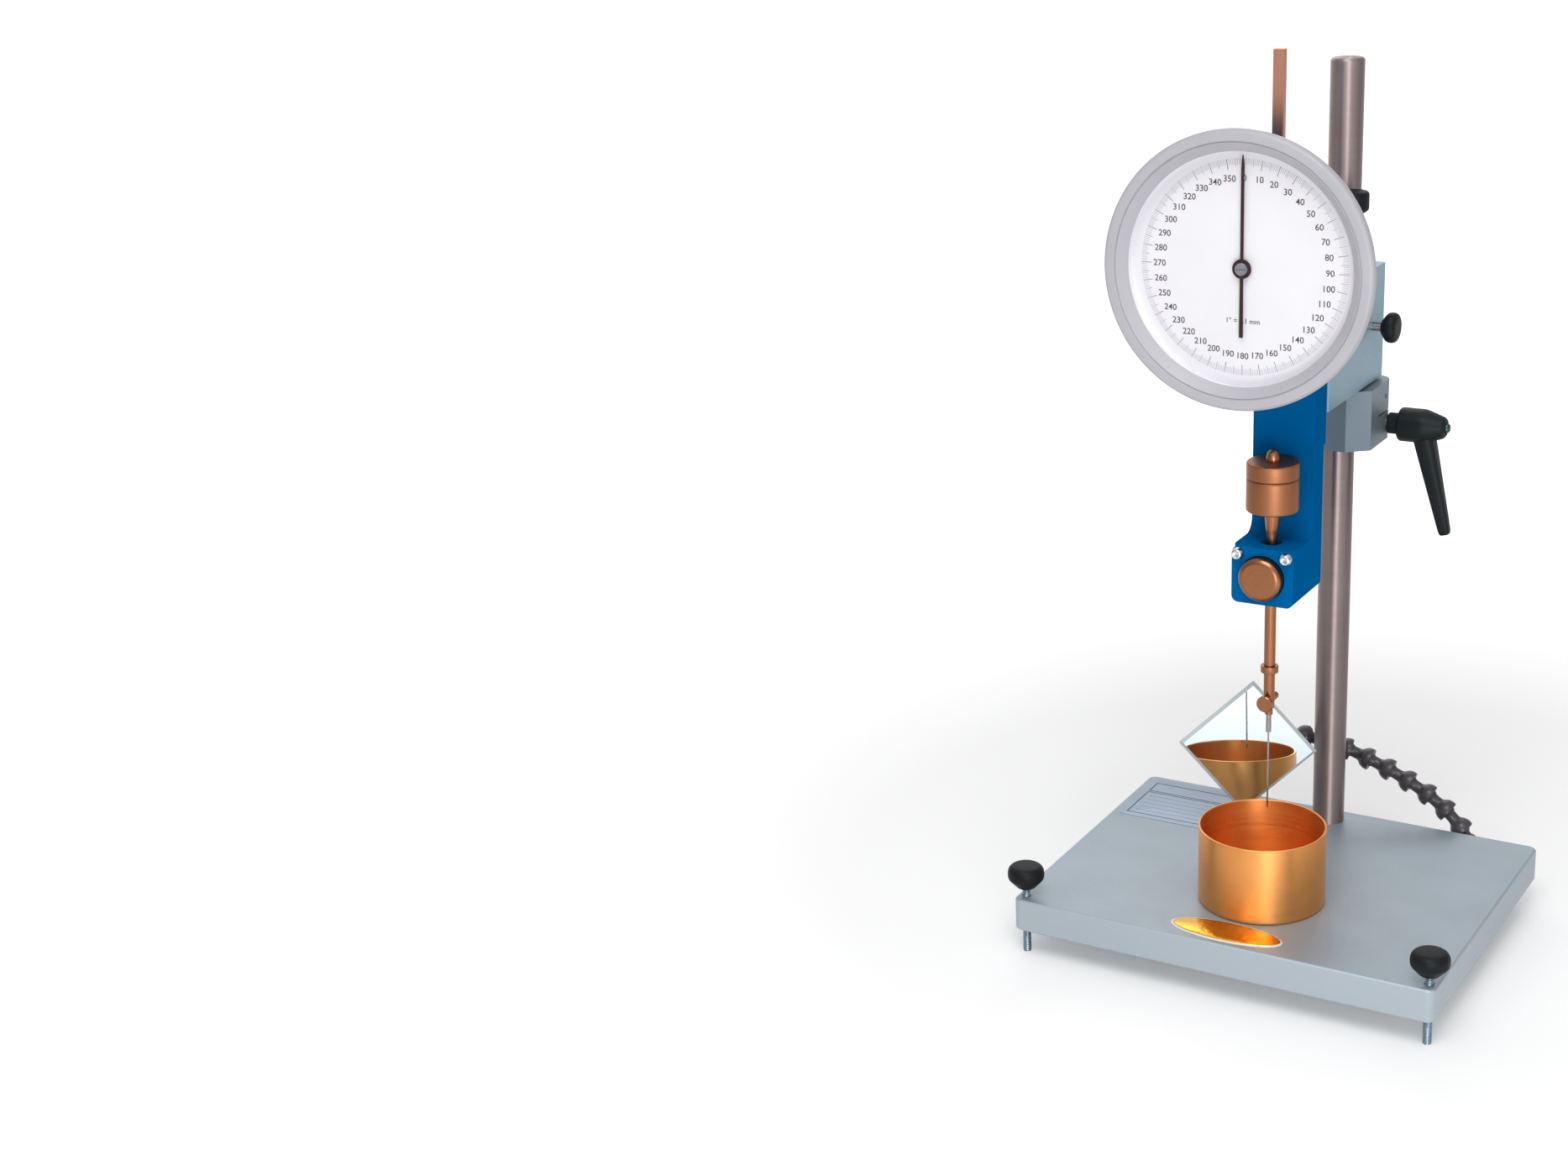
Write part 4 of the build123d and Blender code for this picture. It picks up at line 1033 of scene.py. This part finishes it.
class PENETROMETER_OT_arm_ends(bpy.types.Operator):
    """Build the arm's elbow behind the plate and the cuff and disc that hold the mirror"""

    bl_idname = "penetrometer.arm_ends"
    bl_label = "Elbow and mirror holder"

    def execute(self, context):
        turnings = context.scene.penetrometer_turnings
        low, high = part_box("arm_elbow")
        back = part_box("base_plate")[1].y
        turn = np.array([high.x - turnings.boss, high.y - turnings.boss, low.z + turnings.boss])
        boss_r, neck, tall = turnings.boss / MM, turnings.link_neck / MM, (high.y - back) / MM
        corners = [
            (0, 0, 0), (boss_r, 0, 0.2), (boss_r, 1.8, 0.3), (boss_r - 0.5, 2.2, 0.3),
            (boss_r - 0.5, tall - 2.5, 1.5), (boss_r - 2.0, tall - 0.4, 1.2), (0, tall, 0),
        ]
        boss = turned_solid(rounded(corners), node_frame((turn[0], back, turn[2]), BACK), 48)
        way = spot_of("arm_bend_01") - turn
        stem = np.array([(0, 0), (neck + 0.4, 0), (neck + 0.4, 5.6), (neck, 7.0)]) * MM
        profile = np.concatenate([stem, ball_end(turnings, np.linalg.norm(way))])
        elbow = merged([boss, turned_solid(profile, node_frame(turn, way), 40)])
        stand_in("elbow_turned", elbow, "arm_elbow", "base", 50.0)

        spot, facing, _ = mirror_frame()
        back_gap = ((node_corners("mirror_glass") - spot) @ facing).min() / MM
        rim, cuff = turnings.link_rim / MM, turnings.socket / MM + 0.5
        disc_r, disc_foot, lip = 12.0, back_gap - 2.0, 0.4
        outside = rounded([
            (rim - 0.4, -lip, 0.15), (rim, 0, 0.3), (rim, 1.2, 0.4), (cuff + 0.6, 4.4, 1.0),
            (cuff, 6.2, 1.0), (cuff, disc_foot, 0.6), (disc_r - 0.3, disc_foot, 0.2),
            (disc_r, disc_foot + 0.4, 0.3), (disc_r, back_gap, 0.2), (0, back_gap, 0),
        ], 4)
        profile = np.concatenate([socket_start(turnings, lip * MM), outside])
        holder = turned_solid(profile, node_frame(spot, facing), 56)
        stand_in("holder_turned", holder, "mirror_holder", "mirror", 50.0)
        return {"FINISHED"}


def mirror_frame():
    """Tilt joint's place, the way the mirror faces and the way from its middle to an edge's middle."""
    spot = spot_of("mirror_tilt")
    corners = node_corners("mirror_glass")
    middle = corners.mean(axis=0)
    facing = np.linalg.svd(corners - middle)[2][2]
    facing = facing * np.sign(facing @ (middle - spot))
    arms = corners - middle
    arms = arms - np.outer(arms @ facing, facing)
    diagonal = unit(arms[np.argmax(np.linalg.norm(arms, axis=1))])
    return spot, facing, unit(diagonal + np.cross(facing, diagonal))


class PENETROMETER_OT_mirror(bpy.types.Operator):
    """Build the mirror as a square plate with a ground bevel round a silvered face"""

    bl_idname = "penetrometer.mirror"
    bl_label = "Mirror"

    def execute(self, context):
        _, facing, edge_way = mirror_frame()
        corners = node_corners("mirror_glass")
        middle = corners.mean(axis=0)
        half = ((corners - middle) @ edge_way).max() / MM
        thick = 2 * ((corners - middle) @ facing).max() / MM
        inner = half - context.scene.penetrometer_turnings.mirror_bevel / MM
        film = 0.04
        place = node_frame(middle - facing * thick * MM / 2, facing, edge_way)

        def squared(r, h, t):
            """Half side over the larger of |cos t| and |sin t|, which makes a ring a square."""
            return r / np.maximum(np.abs(np.cos(t)), np.abs(np.sin(t)))

        back = thick - film
        profile = rounded([
            (0, 0, 0), (half, 0, 0.1), (half, 0.5 * thick, 0.1), (inner, back, 0.1), (0, back, 0),
        ], 3)
        plate = turned_solid(profile, place, 64, squared)
        ground = grained("ground_glass_edge", look().edge, 0.15, 0.12, 0.24, 900.0, 0.05, 0.01)
        make_piece("mirror_plate", plate, "mirror", ground, "mirror_glass", 20.0)
        back = thick - 2 * film
        profile = np.array([(0, back), (inner, back), (inner - film, thick), (0, thick)]) * MM
        face = turned_solid(profile, place, 64, squared)
        make_piece("mirror_face", face, "mirror", finish_of("mirror_glass"), sharp=20.0)
        return {"FINISHED"}


class PENETROMETER_OT_cover_screws(bpy.types.Operator):
    """Build the cover's screws with domed heads and hexagon sockets"""

    bl_idname = "penetrometer.cover_screws"
    bl_label = "Cover screws"

    def execute(self, context):
        low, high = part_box("cover_screws")
        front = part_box("head_cover")[0].y
        reach = (high.z - low.z) / 2
        radius, tall = reach / MM, (front - low.y) / MM
        key = 0.46 * radius

        def hexagon(r, h, t):
            """Inside the key's reach a ring becomes a hexagon: r cos 30 / cos of the angle from its flat."""
            from_flat = np.mod(t, math.pi / 3) - math.pi / 6
            return np.where(r < 1.05 * key * MM, r * math.cos(math.pi / 6) / np.cos(from_flat), r)

        corners = [
            (0, 0, 0), (radius, 0, 0.1), (radius, 0.55 * tall, 0.3), (0.8 * radius, 0.92 * tall, 0.6),
            (0.6 * radius, tall, 0.2), (1.1 * key, tall, 0.1), (key, 0.95 * tall, 0), (key, 0.4 * tall, 0),
            (0, 0.36 * tall, 0),
        ]
        parts = []
        for x in (low.x + reach, high.x - reach):
            place = node_frame((x, front, (low.z + high.z) / 2), FRONT)
            parts.append(turned_solid(rounded(corners), place, 48, hexagon))
        stand_in("cover_screw_heads", merged(parts), "cover_screws", "carriage", 40.0)
        return {"FINISHED"}


class PENETROMETER_OT_badge(bpy.types.Operator):
    """Set the bare domed badge on the front of the plate"""

    bl_idname = "penetrometer.badge"
    bl_label = "Badge"

    def execute(self, context):
        plates = context.scene.penetrometer_plates
        low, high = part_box("base_plate")
        aside, border, step = 1.5 * MM, 1.1 * MM, 0.5 * MM
        place = node_frame(((low.x + high.x) / 2 + aside, low.y + plates.badge_inset, high.z), UP, RIGHT)
        half_l, half_w = plates.badge_length / 2, plates.badge_width / 2
        rim = grained("badge_rim", look().rim, 0.2, 0.26, 0.38, 700.0, 0.05)
        sheet = lofted(sheet_rows(half_l, half_w, step), place, 96, 2.0)
        make_piece("badge_border", sheet, "base", rim, sharp=50.0)
        half_l, half_w = half_l - border, half_w - border
        a = np.radians(np.linspace(0.0, 84.0, 10))
        rise = step + (plates.badge_rise - step) * np.sin(a)
        rows = np.stack([rise, half_l * np.cos(a), half_w * np.cos(a)], axis=-1)
        dome = lofted([(0.2 * MM, half_l, half_w), *rows], place, 96, 2.0)
        foil = grained("badge_foil", look().foil, 1.0, 0.14, 0.3, 240.0, 0.12, 0.6)
        make_piece("badge_dome", dome, "base", foil, sharp=60.0)
        return {"FINISHED"}


class PENETROMETER_OT_label(bpy.types.Operator):
    """Set the bare label plate with its two ruled fields on the plate"""

    bl_idname = "penetrometer.label"
    bl_label = "Label"

    def execute(self, context):
        plates = context.scene.penetrometer_plates
        low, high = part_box("base_plate")
        half_w, half_d = plates.label_width / 2, plates.label_depth / 2
        x, y = low.x + plates.label_inset + half_w, high.y - plates.label_inset - half_d
        thick = 0.3 * MM
        brushed = (0.08, 1.0, 1.0)
        silver = grained("label_silver", look().label, 0.35, 0.42, 0.52, 500.0, 0.04, stretch=brushed)
        sheet = lofted(sheet_rows(half_w, half_d, thick), node_frame((x, y, high.z), UP, RIGHT), 96, 30.0)
        make_piece("label_plate", sheet, "base", silver, sharp=30.0)
        stroke, fine = plates.rule, plates.rule / 4
        side = half_w - 4.2 * MM
        bars = []
        for bottom, top, lines in ((0.36 * half_d, 0.79 * half_d, 0), (-0.84 * half_d, 0.29 * half_d, 5)):
            bars += [(-side, v - stroke, side, v + stroke) for v in (bottom, top)]
            bars += [(u - stroke, bottom, u + stroke, top) for u in (-side, side)]
            heights = np.linspace(bottom, top, lines + 2)[1:-1]
            bars += [(-0.9 * side, v - fine, 0.9 * side, v + fine) for v in heights]
        quads = np.array(bars)[:, [[0, 1], [2, 1], [2, 3], [0, 3]]]
        rules = slabs(quads, PRINT, node_frame((x, y, high.z + thick), UP, RIGHT))
        make_piece("label_rules", rules, "base", printed("rule_ink", look().rule, 0.45, 0.1))
        return {"FINISHED"}


class PENETROMETER_OT_level(bpy.types.Operator):
    """Print the round level's ring and set its bubble"""

    bl_idname = "penetrometer.level"
    bl_label = "Round level"

    def execute(self, context):
        low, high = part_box("level_glass")
        top = node_frame(((low.x + high.x) / 2, (low.y + high.y) / 2, high.z), UP)
        inner = 0.42 * (high.x - low.x) / 2
        outer = inner + 0.25 * MM
        ring = turned_ring([(inner, 0), (outer, 0), (outer, PRINT), (inner, PRINT)], top, 64)
        make_piece("level_ring", ring, "base", printed("level_ink", look().rule, 0.45, 0.1))
        a = np.radians(np.linspace(-90.0, 90.0, 11))
        profile = np.stack([0.7 * inner * np.cos(a), 0.25 * MM * (np.sin(a) - 1.4)], axis=-1)
        air, shader = fresh_material("bubble_air", look().air, 0.0, 0.05)
        gloss(air, shader, noise(air, object_coords(air), 60.0), 0.04, 0.09)
        make_piece("level_bubble", turned_solid(profile, top, 40), "base", air)
        return {"FINISHED"}


# Stage: the camera's turn, tilt and roll in degrees, its lens in mm and its place from the middle of the
# plate's top, and each lamp's name, width, height and place

CAMERA_ANGLES = (32.9671, 18.7707, -3.0033)
CAMERA_LENS = 54.607
CAMERA_PLACE = (0.455583, -1.223283, 0.630480)
LAMPS = (
    ("key", 1.1, 1.1, (0.25, -1.15, 1.9)), ("strip", 0.38, 0.46, (0.54, -1.02, 0.24)),
    ("rear", 0.9, 0.5, (-0.6, 1.0, 1.1)),
)
LAMPS_AIM = (0.0, 0.0, 0.2)
WHITE = (1.0, 1.0, 1.0, 1.0)
# Floor's reach, the distances between which its glow rises and the glow there, and the light of the floor,
# the world and the world as shown, each ahead of the camera and beside it
FLOOR_REACH = 30.0
GLOW_SPAN, GLOW = (0.3, 0.95), (0.15, 0.7)
FLOOR_LIGHT, WORLD_LIGHT, SHOWN_LIGHT = (1.0, 0.1), (1.2, 0.5), (1.0, 0.3)


def seen_rays(material):
    """Gives 1 where the camera sees a surface, by itself, in metal or through glass, and otherwise 0."""
    rays = add(material, "LightPath", {}).outputs
    kinds = ("Is Camera Ray", "Is Glossy Ray", "Is Transmission Ray")
    return combined(material, "MAXIMUM", *[rays[kind] for kind in kinds])


def side_share(material, direction, right):
    """Squared cosine of a direction with the camera's right, and 0 for what the camera sees by itself."""
    ahead = add(material, "VectorMath", {0: direction}, operation="NORMALIZE")
    cosine = add(material, "VectorMath", {0: ahead.outputs["Vector"], 1: right}, operation="DOT_PRODUCT")
    camera_ray = add(material, "LightPath", {}).outputs["Is Camera Ray"]
    unseen = ranged(material, camera_ray, (0.0, 1.0), (1.0, 0.0))
    return combined(material, "MULTIPLY", cosine.outputs["Value"], cosine.outputs["Value"], unseen)


class PENETROMETER_OT_stage(bpy.types.Operator):
    """Set the floor, the lamps and the camera"""

    bl_idname = "penetrometer.stage"
    bl_label = "Stage"

    def execute(self, context):
        scene = context.scene
        stage = scene.penetrometer_stage
        scene.view_settings.view_transform = "Standard"
        azimuth, pitch, roll = (math.radians(v) for v in CAMERA_ANGLES)
        right = np.array([math.cos(azimuth), math.sin(azimuth), 0.0])

        floor_mesh = bpy.data.meshes.new("floor")
        ground = CAD_BOX[0][2] - 0.05 * MM
        square = ((-1, -1), (1, -1), (1, 1), (-1, 1))
        corners = [(FLOOR_REACH * x, FLOOR_REACH * y, ground) for x, y in square]
        floor_mesh.from_pydata(corners, [], [(0, 1, 2, 3)])
        floor = bpy.data.objects.new("floor", floor_mesh)
        scene.collection.objects.link(floor)
        pale, shader = fresh_material("pale_floor", (0.9, 0.9, 0.9), 0.0, 0.9)
        away = add(pale, "VectorMath", {0: object_coords(pale)}, operation="LENGTH")
        glow = ranged(pale, away.outputs["Value"], GLOW_SPAN, GLOW)
        sides = ranged(pale, side_share(pale, object_coords(pale), right), (0.0, 1.0), FLOOR_LIGHT)
        feed(pale, shader, {
            "Specular IOR Level": 0.1, "Emission Color": WHITE,
            "Emission Strength": combined(pale, "MULTIPLY", sides, glow, seen_rays(pale)),
        })
        floor_mesh.materials.append(pale)

        world = bpy.data.worlds.new("studio")
        scene.world = world
        world.use_nodes = True
        share = side_share(world, add(world, "TexCoord", {}).outputs["Generated"], right)
        level = ranged(world, share, (0.0, 1.0), [light * stage.world for light in WORLD_LIGHT])
        shown = ranged(world, share, (0.0, 1.0), SHOWN_LIGHT)
        either = add(world, "Mix", {0: seen_rays(world), 2: level, 3: shown})
        feed(world, world.node_tree.nodes["Background"], {"Color": WHITE, "Strength": either.outputs[0]})

        for name, width, tall, spot in LAMPS:
            lamp = bpy.data.lights.new(name, "AREA")
            lamp.energy = getattr(stage, name)
            lamp.shape = "RECTANGLE"
            lamp.size = width
            lamp.size_y = tall
            holder = bpy.data.objects.new(name, lamp)
            holder.location = spot
            aim = Vector(LAMPS_AIM) - Vector(spot)
            holder.rotation_euler = aim.to_track_quat("-Z", "Y").to_euler()
            holder.visible_camera = False
            scene.collection.objects.link(holder)

        ahead = np.array([
            -math.sin(azimuth) * math.cos(pitch), math.cos(azimuth) * math.cos(pitch), -math.sin(pitch),
        ])
        over = np.cross(right, ahead)
        across = math.cos(roll) * right + math.sin(roll) * over
        upward = -math.sin(roll) * right + math.cos(roll) * over
        camera_data = bpy.data.cameras.new("camera")
        camera_data.sensor_width = 36.0
        camera_data.lens = CAMERA_LENS
        camera_data.clip_end = 100.0
        camera = bpy.data.objects.new("camera", camera_data)
        turn = Matrix([across, upward, -ahead]).transposed().to_4x4()
        low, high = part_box("base_plate")
        spot = Vector(((low.x + high.x) / 2, (low.y + high.y) / 2, high.z)) + Vector(CAMERA_PLACE)
        camera.matrix_world = Matrix.Translation(spot) @ turn
        scene.collection.objects.link(camera)
        scene.camera = camera
        return {"FINISHED"}


OPERATORS = (
    PENETROMETER_OT_finishes, PENETROMETER_OT_edges, PENETROMETER_OT_bezel, PENETROMETER_OT_divisions,
    PENETROMETER_OT_figures, PENETROMETER_OT_knobs, PENETROMETER_OT_threads, PENETROMETER_OT_column,
    PENETROMETER_OT_plunger, PENETROMETER_OT_weights, PENETROMETER_OT_button, PENETROMETER_OT_cup,
    PENETROMETER_OT_lever, PENETROMETER_OT_links, PENETROMETER_OT_arm_ends, PENETROMETER_OT_mirror,
    PENETROMETER_OT_cover_screws, PENETROMETER_OT_badge, PENETROMETER_OT_label, PENETROMETER_OT_level,
    PENETROMETER_OT_stage,
)


class PENETROMETER_PT_looks(bpy.types.Panel):
    """Lists the steps that dress the penetrometer"""

    bl_label = "Penetrometer"
    bl_idname = "PENETROMETER_PT_looks"
    bl_space_type = "VIEW_3D"
    bl_region_type = "UI"
    bl_category = "Penetrometer"

    def draw(self, context):
        for operator in OPERATORS:
            self.layout.operator(operator.bl_idname)


GROUPS = {
    "penetrometer_finishes": PenetrometerFinishes,
    "penetrometer_dial": PenetrometerDial,
    "penetrometer_turnings": PenetrometerTurnings,
    "penetrometer_plates": PenetrometerPlates,
    "penetrometer_stage": PenetrometerStage,
}


def register():
    """Register the groups, operators and panel."""
    for name, group in GROUPS.items():
        bpy.utils.register_class(group)
        setattr(bpy.types.Scene, name, PointerProperty(type=group))
    for item in (*OPERATORS, PENETROMETER_PT_looks):
        bpy.utils.register_class(item)


def unregister():
    """Remove the panel, operators and groups."""
    for item in (PENETROMETER_PT_looks, *reversed(OPERATORS)):
        bpy.utils.unregister_class(item)
    for name, group in GROUPS.items():
        delattr(bpy.types.Scene, name)
        bpy.utils.unregister_class(group)


def main():
    """Dress the frame in order."""
    register()
    bpy.ops.penetrometer.finishes()
    bpy.ops.penetrometer.edges()
    bpy.ops.penetrometer.bezel()
    bpy.ops.penetrometer.divisions()
    bpy.ops.penetrometer.figures()
    bpy.ops.penetrometer.knobs()
    bpy.ops.penetrometer.threads()
    bpy.ops.penetrometer.column()
    bpy.ops.penetrometer.plunger()
    bpy.ops.penetrometer.weights()
    bpy.ops.penetrometer.button()
    bpy.ops.penetrometer.cup()
    bpy.ops.penetrometer.lever()
    bpy.ops.penetrometer.links()
    bpy.ops.penetrometer.arm_ends()
    bpy.ops.penetrometer.mirror()
    bpy.ops.penetrometer.cover_screws()
    bpy.ops.penetrometer.badge()
    bpy.ops.penetrometer.label()
    bpy.ops.penetrometer.level()
    bpy.ops.penetrometer.stage()


if __name__ == "__main__":
    main()
